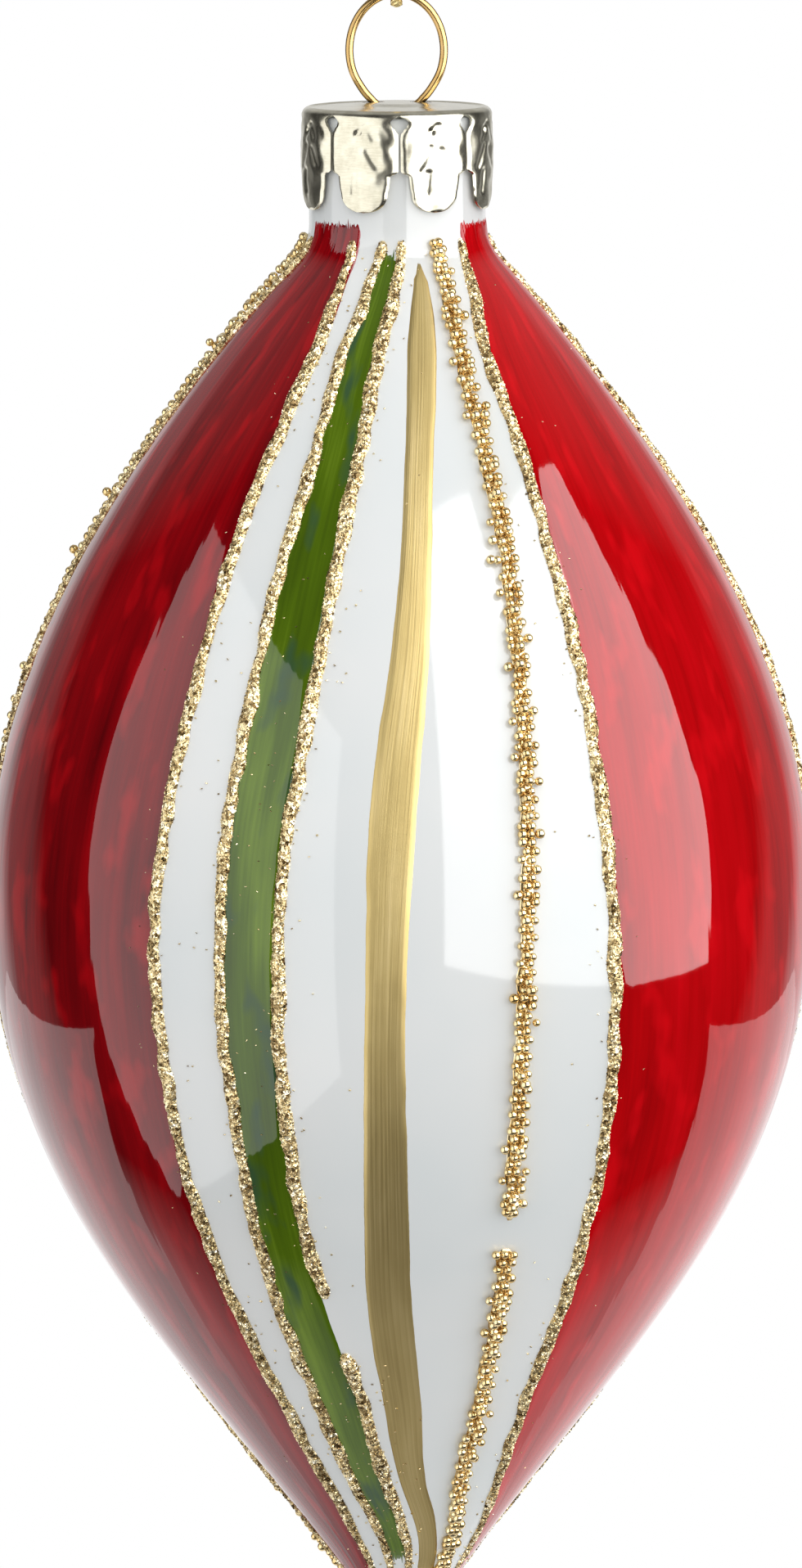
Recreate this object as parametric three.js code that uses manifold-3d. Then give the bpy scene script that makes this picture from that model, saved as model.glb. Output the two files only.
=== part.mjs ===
// A blown-glass christmas bauble of the tall drop kind, hanging by its wire ring.
// The hollow glass is opal white. Brushed enamel stripes run down it, edged by trails
// of glitter, with trails of small gold beads between them. A stamped crown cap covers
// the neck, and one bent wire makes the ring above the cap and two legs below it, which
// reach into the neck and bear on its bore. A metallic thread is knotted into a loop
// through the ring.
//
// Millimetres, +Z up along the axis of the glass. The origin is the inside top of the
// wire ring, and the front of the pattern faces -Y.

import * as THREE from 'three';
import { mergeVertices } from 'three/addons/utils/BufferGeometryUtils.js';
import Module from 'manifold-3d';

const wasm = await Module();
wasm.setup();

const degree = Math.PI / 180;

// Glass: neck, shoulder down to the widest level, and drop down to the tip
const glassRadius = 40;
const glassWall = 0.8;
const neckRadius = 8.6;
const neckLength = 12.8;
const shoulderHeight = 62.6;
const dropHeight = 79;
// Half the height over which the neck rounds into the shoulder
const flareFillet = 2;
// Solid glass where the tip was drawn off
const tipSolid = 7;
// Exponents of the outline: below one fills the shoulder out, above one narrows the drop
const shoulderCurve = 0.95;
const dropStart = 1.15;
const dropPoint = 1.4;
const glassSides = 40;

// Cap
const capSheet = 0.4;
const capFit = 0.3;
const capDepth = 10.3;
const capEdge = 0.9;
const capDome = 0.4;
const petals = 8;
const firstSlot = 1.5 * degree;
const keyholeRadius = 0.75;
const keyholeDrop = 1.8;
const slitWidth = 0.3;
const slitMouth = 1.2;
const shoulderDrop = 6.9;
const tongueWidth = 5;

// Wire
const wireDiameter = 0.8;
// The ring is an oval, drawn taller by the weight: half its width and half its height
const ringHalfWidth = 4.6;
const ringHalfHeight = 5.5;
// How far the cap's top lies under the ring's middle
const ringStand = 5;
// How far round the oval each side runs below its middle
const ringOpen = 45 * degree;
const holeSpacing = 4.6;
const holeRadius = 1;
const waistSpacing = 3.2;
const waistDrop = 1;
const legLength = 20.5;
const legBearingDepth = 9;
const legTipInset = 0.7;
const legFit = 0.45;
// How the leg spreads from its waist to where it bears, as shares of the way [out, down]
const legSpread = [
  [0.35, 0.25],
  [0.8, 0.6],
];

// Thread: a flat braid
const threadWidth = 1.2;
const threadThickness = 0.6;
const knotWidth = 3;
const knotHeight = 3.6;
const knotGap = 0.3;
const tailLength = 4.5;
const tailLean = 18 * degree;

// Decoration: lifts are measured square to the glass
const decorationGap = 0.3;
const enamelThickness = 0.35;
const glitterWidth = 1.6;
const glitterHeight = 0.75;
// Height of a trail's edge as a share of its crest
const glitterEdgeShare = 0.35;
const beadTrailWidth = 2.1;
const beadDiameter = 0.75;
// Heights of the heaps and of the dips between them, in beads, and the heaps' pitch
const heapBeads = 1.6;
const dipBeads = 1.1;
const heapPitch = 4;
const trailClearance = 0.3;
// Below this radius of the glass the trails are drawn finer
const trailTaperRadius = 14;

// Starts of the decoration, measured up from the flare
const lineStartRise = 0.9;
const redStartRise = 2.6;
const greenStartRise = -0.2;
const goldStartRise = -1;
// Its feet, measured up from the tip
const lineFootRise = 12.5;
const trailFootRise = 9;
const greenFootRise = 13;
const goldFootRise = 11.5;
// Gaps that the hand left in two of the front trails, measured down from the widest level
const beadGapDrop = 29;
const beadGapLength = 3;
const glitterGapDrop = 37;
const glitterGapLength = 6;
// Shortest facet at the ends of a strip
const shortestFacetLength = 0.5;

// Levels, from the ring down
const ringCentre = wireDiameter / 2 - ringHalfHeight;
const capTop = ringCentre - ringStand;
const capRim = capTop - capDome;
const capFoot = capTop - capDepth;
const neckTop = capRim - capSheet - capFit;
const flare = neckTop - neckLength;
const widest = flare - shoulderHeight;
const tip = widest - dropHeight;
const capRadius = neckRadius + capFit + capSheet;
const boreRadius = neckRadius - glassWall;

const lineTop = flare + lineStartRise;
const lineFoot = tip + lineFootRise;
const trailFoot = tip + trailFootRise;
const redTop = flare + redStartRise;
const greenTop = flare + greenStartRise;
const goldTop = flare + goldStartRise;
const greenFoot = tip + greenFootRise;
const goldFoot = tip + goldFootRise;
const beadGap = { top: widest - beadGapDrop, foot: widest - beadGapDrop - beadGapLength };
const glitterGap = { top: widest - glitterGapDrop, foot: widest - glitterGapDrop - glitterGapLength };

// How each line wanders on its way down, in degrees round from the front: the angles
// stand at even steps from lineTop to lineFoot
const lines = {
  redRight: [-29, -28.2, -30.9, -32.4, -33, -33.8, -35, -36.1, -35.8, -35.5, -35.6, -35, -34, -32.4, -28.3],
  greenLeft: [-9.6, -18, -19.6, -21.6, -22.6, -23.8, -25, -25.5, -25.4, -25, -25, -24.7, -23.3, -20, -9.6],
  greenRight: [2.4, -5.8, -8.7, -11, -12.6, -14.2, -16, -17, -17.2, -17, -16.4, -14.3, -10.8, -6.6, 5.3],
  gold: [13.1, 8.5, 5.2, 3.4, 1.9, 0, -1.2, -1.8, -2.2, -2.3, -2.4, -2.2, 0, 4.5, 20.6],
  beads: [24.8, 21.1, 20.6, 20.2, 19.2, 18.5, 18, 17.5, 17.2, 17.3, 18.1, 19.2, 21.2, 24, 35.1],
  redLeft: [43.9, 31.6, 30.1, 29.7, 29.9, 29.7, 30.2, 30.8, 31.5, 32.2, 32.8, 34.1, 35.3, 42.6, 59.1],
};
// Widths of the gold stripe at even steps from lineTop to lineFoot
const goldWidths = [0.8, 3, 3, 3.2, 3.9, 4.6, 4.8, 4.3, 4.2, 4.4, 4.6, 4.6, 4, 2.8, 2];
// How far round each repeat of the pattern stands at eight even steps of the same way, as
// the hand spaced them
const repeats = [
  [0, 0, 0, 0, 0, 0, 0, 0],
  [122, 123, 124, 127, 131, 132, 131, 125],
  [246, 241, 240.5, 238, 234.5, 230.5, 229, 227],
];
const fullTurn = repeats[0].map((angle) => angle + 360);

const finishes = {
  opal: finish(0xeef2f1, 0.08, 0),
  red: finish(0x9c0410, 0.12, 0),
  green: finish(0x3c6414, 0.15, 0),
  goldPaint: finish(0xb89c5e, 0.4, 0.5),
  glitter: finish(0xd8c48c, 0.35, 0.8),
  beads: finish(0xc9a050, 0.2, 0.9),
  cap: finish(0xd0ccb4, 0.22, 1),
  wire: finish(0xb98a3c, 0.25, 1),
  thread: finish(0xc8a440, 0.5, 0.6),
};

function finish(color, roughness, metalness) {
  return new THREE.MeshStandardMaterial({ color, roughness, metalness });
}

// Outside radius of the glass at a level
function outerRadius(z) {
  const depth = flare - z;
  if (depth <= -flareFillet) {
    return neckRadius;
  }
  if (depth < flareFillet) {
    const share = (depth + flareFillet) / (2 * flareFillet);
    return neckRadius + shoulderReach(flareFillet) * share ** 2;
  }
  if (z >= widest) {
    return neckRadius + shoulderReach(depth);
  }
  const share = Math.min(1, (widest - z) / dropHeight);
  return glassRadius * Math.max(0, Math.cos(Math.PI / 2 * share ** dropStart)) ** dropPoint;
}

function shoulderReach(depth) {
  const share = (depth / shoulderHeight) ** shoulderCurve;
  return (glassRadius - neckRadius) * Math.sin(Math.PI / 2 * share);
}

// The outline's outward normal at a level, as [radial, vertical]
function outlineNormal(z) {
  const step = 0.01;
  const slope = (outerRadius(z + step) - outerRadius(z - step)) / (2 * step);
  const length = Math.hypot(1, slope);
  return [1 / length, -slope / length];
}

// A point over the glass: round from the front, at a level, lifted off the surface
function onGlass(angle, z, lift) {
  const [radial, vertical] = outlineNormal(z);
  const radius = outerRadius(z) + lift * radial;
  return new THREE.Vector3(radius * Math.sin(angle), -radius * Math.cos(angle), z + lift * vertical);
}

function evenSteps(from, to, count) {
  return Array.from({ length: count + 1 }, (_, i) => from + (to - from) * i / count);
}

// Levels of the facets, shared by the glass and what lies on it
const filletLevels = evenSteps(flare + flareFillet, flare - flareFillet, 4);
const shoulderLevels = evenSteps(flare - flareFillet, widest, 8).slice(1);
const dropLevels = evenSteps(widest, tip, 11).slice(1);
const levels = [...filletLevels, ...shoulderLevels, ...dropLevels];

function positionsOnly(geometry) {
  const bare = geometry.index ? geometry.toNonIndexed() : geometry;
  const clean = new THREE.BufferGeometry();
  clean.setAttribute('position', bare.getAttribute('position').clone());
  const welded = mergeVertices(clean, 1e-4);
  const index = [];
  for (let i = 0; i < welded.index.count; i += 3) {
    const [a, b, c] = [0, 1, 2].map((k) => welded.index.getX(i + k));
    if (a !== b && b !== c && c !== a) {
      index.push(a, b, c);
    }
  }
  welded.setIndex(index);
  return welded;
}

function solidOf(geometry) {
  const bare = positionsOnly(geometry);
  const vertProperties = new Float32Array(bare.getAttribute('position').array);
  const triVerts = new Uint32Array(bare.index.array);
  return new wasm.Manifold(new wasm.Mesh({ numProp: 3, vertProperties, triVerts }));
}

function geometryOf(solid) {
  const mesh = solid.getMesh();
  const geometry = new THREE.BufferGeometry();
  geometry.setAttribute('position', new THREE.BufferAttribute(mesh.vertProperties, 3));
  geometry.setIndex(new THREE.BufferAttribute(mesh.triVerts, 1));
  return geometry;
}

// A closed [radius, level] outline turned round the axis
function turned(outline, sides) {
  const points = outline.map(([radius, z]) => new THREE.Vector2(radius, z));
  return new THREE.LatheGeometry(points, sides).rotateX(Math.PI / 2);
}

function roundBar(path, diameter, sides, steps) {
  const section = new THREE.Shape();
  for (const [i, angle] of evenSteps(0, 2 * Math.PI, sides).slice(0, -1).entries()) {
    const [x, y] = [diameter / 2 * Math.cos(angle), diameter / 2 * Math.sin(angle)];
    if (i === 0) {
      section.moveTo(x, y);
    } else {
      section.lineTo(x, y);
    }
  }
  return new THREE.ExtrudeGeometry(section, { steps, extrudePath: path, curveSegments: 1 });
}

function glassBody() {
  const neck = [[neckRadius, neckTop]];
  const outside = levels.slice(0, -1).map((z) => [outerRadius(z), z]);
  const hollow = levels.filter((z, i) => z > tip + tipSolid && (i < filletLevels.length || i % 2 === 0));
  const inside = hollow.map((z) => {
    const [radial, vertical] = outlineNormal(z);
    return [outerRadius(z) - glassWall * radial, z - glassWall * vertical];
  });
  const outline = [
    [0, tip],
    ...outside.reverse(),
    ...neck,
    [boreRadius, neckTop],
    ...inside.filter(([, z]) => z > tip + tipSolid + glassWall),
    [0, tip + tipSolid],
  ];
  return turned(outline, glassSides);
}

// The value at a level of a curve through values at even steps from lineTop to lineFoot
function atLevel(values, z) {
  const share = THREE.MathUtils.clamp((lineTop - z) / (lineTop - lineFoot), 0, 1);
  const curve = new THREE.SplineCurve(values.map((value, i) => new THREE.Vector2(i, value)));
  return curve.getPoint(share).y;
}

// The angle of a line at a level, in one repeat of the pattern
function lineAngle(name, repeat, z) {
  return (atLevel(lines[name], z) + atLevel(repeat, z)) * degree;
}

// Trails are drawn finer where the glass narrows to its tip
function trailShare(z) {
  return Math.min(1, outerRadius(z) / trailTaperRadius);
}

// A strip of decoration between two edges, each an angle as a function of level.
// crown gives the lift of the outer face across the strip, from 0 to 1, at a level.
function strip({ left, right, from, to, columns, crown, rows = levels }) {
  const between = rows.filter((z) => z < from - shortestFacetLength && z > to + shortestFacetLength);
  const stops = [from, ...between, to];
  const positions = [];
  for (const z of stops) {
    for (const lift of [() => decorationGap, (share) => crown(share, z)]) {
      for (const share of evenSteps(0, 1, columns)) {
        const angle = THREE.MathUtils.lerp(left(z), right(z), share);
        positions.push(...onGlass(angle, z, lift(share)).toArray());
      }
    }
  }
  const across = columns + 1;
  const at = (row, layer, column) => (row * 2 + layer) * across + column;
  const index = [];
  const quad = (a, b, c, d) => index.push(a, b, c, a, c, d);
  for (let row = 0; row + 1 < stops.length; row += 1) {
    for (let column = 0; column < columns; column += 1) {
      const [next, beside] = [row + 1, column + 1];
      quad(at(row, 1, column), at(next, 1, column), at(next, 1, beside), at(row, 1, beside));
      quad(at(row, 0, column), at(row, 0, beside), at(next, 0, beside), at(next, 0, column));
    }
    quad(at(row, 0, 0), at(row + 1, 0, 0), at(row + 1, 1, 0), at(row, 1, 0));
    quad(at(row, 0, columns), at(row, 1, columns), at(row + 1, 1, columns), at(row + 1, 0, columns));
  }
  for (let column = 0; column < columns; column += 1) {
    const last = stops.length - 1;
    quad(at(0, 0, column), at(0, 1, column), at(0, 1, column + 1), at(0, 0, column + 1));
    quad(at(last, 0, column), at(last, 0, column + 1), at(last, 1, column + 1), at(last, 1, column));
  }
  const geometry = new THREE.BufferGeometry();
  geometry.setAttribute('position', new THREE.Float32BufferAttribute(positions, 3));
  geometry.setIndex(index);
  return geometry;
}

// The angle that an arc of the given length takes up at a level
function arcAngle(length, z) {
  return length / outerRadius(z);
}

function enamelBetween([leftLine, leftRepeat], [rightLine, rightRepeat], from, to, columns) {
  const inset = (z) => arcAngle(glitterWidth / 2 * trailShare(z) + trailClearance, z);
  return strip({
    left: (z) => lineAngle(leftLine, leftRepeat, z) + inset(z),
    right: (z) => lineAngle(rightLine, rightRepeat, z) - inset(z),
    from,
    to,
    columns,
    crown: () => decorationGap + enamelThickness,
  });
}

function goldStripe(repeat) {
  const half = (z) => arcAngle(atLevel(goldWidths, z) / 2, z);
  return strip({
    left: (z) => lineAngle('gold', repeat, z) - half(z),
    right: (z) => lineAngle('gold', repeat, z) + half(z),
    from: goldTop,
    to: goldFoot,
    columns: 2,
    crown: () => decorationGap + enamelThickness,
  });
}

function glitterTrail(line, repeat, from, to) {
  const half = (z) => arcAngle(glitterWidth * trailShare(z) / 2, z);
  return strip({
    left: (z) => lineAngle(line, repeat, z) - half(z),
    right: (z) => lineAngle(line, repeat, z) + half(z),
    from,
    to,
    columns: 2,
    crown: (share, z) => {
      const crest = share > 0 && share < 1 ? 1 : glitterEdgeShare;
      return decorationGap + glitterHeight * trailShare(z) * crest;
    },
  });
}

// A trail of small beads on their bed of glue, heaped where they were poured
function beadTrail(repeat, from, to) {
  const half = (z) => arcAngle(beadTrailWidth * trailShare(z) / 2, z);
  const count = Math.max(2, Math.round((from - to) / heapPitch));
  const heap = (z) => {
    const beat = Math.round((from - z) / (from - to) * count * 2) % 2;
    return beadDiameter * trailShare(z) * (beat ? heapBeads : dipBeads);
  };
  return strip({
    left: (z) => lineAngle('beads', repeat, z) - half(z),
    right: (z) => lineAngle('beads', repeat, z) + half(z),
    from,
    to,
    columns: 2,
    crown: (share, z) => decorationGap + (share > 0 && share < 1 ? heap(z) : beadDiameter / 2),
    rows: evenSteps(from, to, count * 2).slice(1, -1),
  });
}

// What is cut away between two petals: a keyhole, a slit that opens to a mouth, and the
// space beside two rounded tongues
function slotCutter(angle) {
  const halfPitch = capRadius * Math.sin(Math.PI / petals);
  const keyhole = evenSteps(90 * degree, -60 * degree, 4).map((turn) => [
    keyholeRadius * Math.cos(turn),
    capTop - keyholeDrop + keyholeRadius * Math.sin(turn),
  ]);
  const tongueTop = capTop - shoulderDrop - slitMouth / 2;
  const tongue = evenSteps(0, 90 * degree, 4).map((turn) => [
    halfPitch - tongueWidth / 2 * Math.cos(turn),
    tongueTop - (tongueTop - capFoot) * Math.sin(turn),
  ]);
  const right = [
    ...keyhole,
    [slitWidth / 2, capTop - keyholeDrop - keyholeRadius],
    [slitWidth / 2 + (slitMouth - slitWidth) / 8, capTop - shoulderDrop + slitMouth],
    [slitMouth / 2, capTop - shoulderDrop],
    ...tongue,
    [halfPitch, capFoot - capSheet],
  ];
  const left = right.slice(1).reverse().map(([x, z]) => [-x, z]);
  const shape = new THREE.Shape([...right, ...left].map(([x, z]) => new THREE.Vector2(x, z)));
  const reach = 4 * capSheet;
  const cutter = new THREE.ExtrudeGeometry(shape, { depth: 2 * reach, bevelEnabled: false });
  const across = new THREE.Vector3(Math.cos(angle), Math.sin(angle), 0);
  const outward = new THREE.Vector3(Math.sin(angle), -Math.cos(angle), 0);
  const place = new THREE.Matrix4().makeBasis(across, new THREE.Vector3(0, 0, 1), outward);
  place.setPosition(outward.multiplyScalar(capRadius - reach));
  return cutter.applyMatrix4(place);
}

function capCrown() {
  const corner = evenSteps(0, 90 * degree, 3).map((turn) => [
    capRadius - capEdge + capEdge * Math.sin(turn),
    capRim - capEdge + capEdge * Math.cos(turn),
  ]);
  const outline = [
    [0, capRim - capSheet],
    [capRadius - capSheet, capRim - capSheet],
    [capRadius - capSheet, capFoot],
    [capRadius, capFoot],
    ...corner.reverse(),
    [holeSpacing, capTop - capDome / 4],
    [0, capTop],
  ];
  let crown = solidOf(turned(outline, 48));
  for (let petal = 0; petal < petals; petal += 1) {
    crown = crown.subtract(solidOf(slotCutter(firstSlot + 2 * Math.PI * petal / petals)));
  }
  for (const side of [-1, 1]) {
    const drill = new THREE.CylinderGeometry(holeRadius, holeRadius, 4 * (capDome + capSheet), 12);
    drill.rotateX(Math.PI / 2).translate(side * holeSpacing / 2, 0, capTop);
    crown = crown.subtract(solidOf(drill));
  }
  return geometryOf(crown);
}

// The wire's centreline on one side, from the lowest point of its arc down to its tip
function legPoints(side) {
  const bearing = boreRadius - legFit - wireDiameter / 2;
  const waist = waistSpacing / 2;
  return [
    [holeSpacing / 2, capTop],
    [waist, capTop - waistDrop],
    ...legSpread.map(([out, down]) => [waist + (bearing - waist) * out, neckTop - legBearingDepth * down]),
    [bearing, neckTop - legBearingDepth],
    [bearing - legTipInset / 3, (neckTop - legBearingDepth + capTop - legLength) / 2],
    [bearing - legTipInset, capTop - legLength],
  ].map(([x, z]) => new THREE.Vector3(side * x, 0, z));
}

function hangerWire() {
  const arc = evenSteps(Math.PI + ringOpen, -ringOpen, 12).map((turn) => new THREE.Vector3(
    ringHalfWidth * Math.cos(turn),
    0,
    ringCentre + ringHalfHeight * Math.sin(turn),
  ));
  const path = new THREE.CatmullRomCurve3([...legPoints(-1).reverse(), ...arc, ...legPoints(1)]);
  return roundBar(path, wireDiameter, 7, 60);
}

// The thread's route on its front side, as [out from the ring, up], from the knot down
// to the bight that the ring hangs on; the back side is the same
const threadRoute = [
  [0.36, 42],
  [0.42, 38],
  [0.52, 32],
  [0.66, 25],
  [0.82, 18],
  [0.98, 12],
  [1.12, 6.5],
  [1.22, 3],
  [1.22, 1.5],
  [1.1, 0.55],
  [0.76, -0.22],
];
const bightLevel = -0.66;

// A bar's round section made as wide as the braid
function braided(geometry) {
  return geometry.scale(threadWidth / threadThickness, 1, 1);
}

function threadLoop() {
  const front = threadRoute.map(([y, z]) => new THREE.Vector3(0, -y, z));
  const back = threadRoute.map(([y, z]) => new THREE.Vector3(0, y, z)).reverse();
  const path = new THREE.CatmullRomCurve3([...front, new THREE.Vector3(0, 0, bightLevel), ...back]);
  return braided(roundBar(path, threadThickness, 8, 44));
}

function threadKnot() {
  const foot = threadRoute[0][1] + knotGap;
  const middle = foot + knotHeight / 2;
  const ball = new THREE.SphereGeometry(knotWidth / 2, 10, 6);
  ball.rotateX(Math.PI / 2).scale(1, 1, knotHeight / knotWidth).translate(0, 0, middle);
  let knot = solidOf(ball);
  for (const side of [-1, 1]) {
    const radius = threadThickness / 2;
    const tail = braided(new THREE.CylinderGeometry(radius, radius, tailLength, 8));
    tail.translate(0, tailLength / 2, 0).rotateX(Math.PI / 2 + side * tailLean).translate(0, 0, middle);
    knot = knot.add(solidOf(tail));
  }
  return geometryOf(knot);
}

const bauble = new THREE.Group();
bauble.name = 'christmas_bauble';

function addPiece(name, geometry, material) {
  const clean = positionsOnly(geometry);
  clean.computeVertexNormals();
  const mesh = new THREE.Mesh(clean, material);
  mesh.name = name;
  bauble.add(mesh);
}

addPiece('hanger_wire', hangerWire(), finishes.wire);
addPiece('thread_loop', threadLoop(), finishes.thread);
addPiece('thread_knot', threadKnot(), finishes.thread);
addPiece('cap_crown', capCrown(), finishes.cap);
addPiece('glass_body', glassBody(), finishes.opal);

for (const [k, repeat] of repeats.entries()) {
  const next = repeats[k + 1] ?? fullTurn;
  const place = k + 1;
  const front = k === 0;
  addPiece(
    `enamel_red_${place}`,
    enamelBetween(['redLeft', repeat], ['redRight', next], redTop, trailFoot, 6),
    finishes.red,
  );
  addPiece(
    `enamel_green_${place}`,
    enamelBetween(['greenLeft', repeat], ['greenRight', repeat], greenTop, greenFoot, 2),
    finishes.green,
  );
  addPiece(`enamel_gold_${place}`, goldStripe(repeat), finishes.goldPaint);
  for (const [name, line] of [
    ['red_left', 'redLeft'],
    ['red_right', 'redRight'],
    ['green_left', 'greenLeft'],
  ]) {
    addPiece(`glitter_${name}_${place}`, glitterTrail(line, repeat, lineTop, trailFoot), finishes.glitter);
  }
  const glitterRuns = front
    ? [['_upper', lineTop, glitterGap.top], ['_lower', glitterGap.foot, trailFoot]]
    : [['', lineTop, trailFoot]];
  for (const [run, from, to] of glitterRuns) {
    addPiece(
      `glitter_green_right_${place}${run}`,
      glitterTrail('greenRight', repeat, from, to),
      finishes.glitter,
    );
  }
  const beadRuns = front
    ? [['_upper', lineTop, beadGap.top], ['_lower', beadGap.foot, trailFoot]]
    : [['', lineTop, trailFoot]];
  for (const [run, from, to] of beadRuns) {
    addPiece(`bead_trail_${place}${run}`, beadTrail(repeat, from, to), finishes.beads);
  }
}

export default bauble;
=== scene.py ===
"""Looks of a drop-shaped christmas bauble: blown opal glass with enamel, glitter and beads."""

import logging
import math
import operator
from dataclasses import dataclass, field, fields, replace
from enum import Enum
from random import Random
from typing import Callable, Iterable, Sequence

import bmesh
import bpy
from mathutils import Matrix, Vector, noise


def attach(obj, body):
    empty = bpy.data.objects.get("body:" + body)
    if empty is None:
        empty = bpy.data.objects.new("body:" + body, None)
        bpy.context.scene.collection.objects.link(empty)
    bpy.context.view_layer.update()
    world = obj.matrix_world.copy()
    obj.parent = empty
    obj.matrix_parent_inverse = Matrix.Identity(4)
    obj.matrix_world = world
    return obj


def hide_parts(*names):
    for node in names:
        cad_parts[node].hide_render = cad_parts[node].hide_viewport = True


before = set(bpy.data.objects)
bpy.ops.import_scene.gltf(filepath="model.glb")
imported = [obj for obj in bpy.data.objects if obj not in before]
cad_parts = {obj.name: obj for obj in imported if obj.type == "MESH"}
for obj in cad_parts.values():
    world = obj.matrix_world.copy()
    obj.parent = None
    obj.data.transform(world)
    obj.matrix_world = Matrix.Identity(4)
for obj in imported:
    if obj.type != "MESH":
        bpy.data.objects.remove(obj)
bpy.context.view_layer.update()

log = logging.getLogger("bauble")

MM = 0.001
# Distance in metres within which points are one
CLOSE = 1e-7
# Units of the run map to a millimetre
RUN = 0.01
# Measures that several pieces share, in millimetres; levels are from the ring's inside top
CAP_TOP = -10.1
NECK_TOP = -11.2
HOLE_SPACING = 4.6
Number = "float | Link"
Point = tuple[float, float, float]
Mesh = tuple[list[Point], list[tuple[int, ...]]]
Piece = bpy.types.Object


# Node graphs


def worked(operation: str, turned: bool = False) -> Callable:
    """A method for one of Python's operators, by the Math node's name for it."""
    if turned:
        return lambda value, other: work(operation, other, value)
    return lambda value, other: work(operation, value, other)


class Link:
    """An output socket of a node, on which Python's operators add Math nodes."""

    __add__ = __radd__ = worked("ADD")
    __sub__, __rsub__ = worked("SUBTRACT"), worked("SUBTRACT", turned=True)
    __mul__ = __rmul__ = worked("MULTIPLY")
    __truediv__ = worked("DIVIDE")
    __pow__ = worked("POWER")

    def __init__(self, graph: "Graph", socket: bpy.types.NodeSocket) -> None:
        """Wraps a socket of a graph."""
        self.graph = graph
        self.socket = socket

    def parts(self) -> list["Link"]:
        """The x, y and z of a vector."""
        node = self.graph.node("ShaderNodeSeparateXYZ", values={0: self})
        return [node[i] for i in range(3)]


OPERATIONS: dict[str, Callable[..., float]] = {
    "SINE": math.sin, "COSINE": math.cos, "SQRT": math.sqrt,
    "MINIMUM": min, "MAXIMUM": max, "LESS_THAN": operator.lt,
}


def work(operation: str, *values: Number) -> Number:
    """Works an operation out: on numbers in Python, on links with a Math node.

    Args:
        operation: the Math node's name for it.
        values: numbers or links.

    Returns:
        A number, or a link where any of the values is one.
    """
    links = [v for v in values if isinstance(v, Link)]
    if not links:
        return OPERATIONS[operation](*values)
    return links[0].graph.node("ShaderNodeMath", {"operation": operation}, dict(enumerate(values)))[0]


def held(value: Number) -> Number:
    """A value held between 0 and 1."""
    return work("MAXIMUM", 0.0, work("MINIMUM", 1.0, value))


@dataclass
class Made:
    """A node that was added to a graph."""

    graph: "Graph"
    node: bpy.types.Node

    def __getitem__(self, key: int | str) -> Link:
        """The output of that name or place."""
        return Link(self.graph, self.node.outputs[key])


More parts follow.
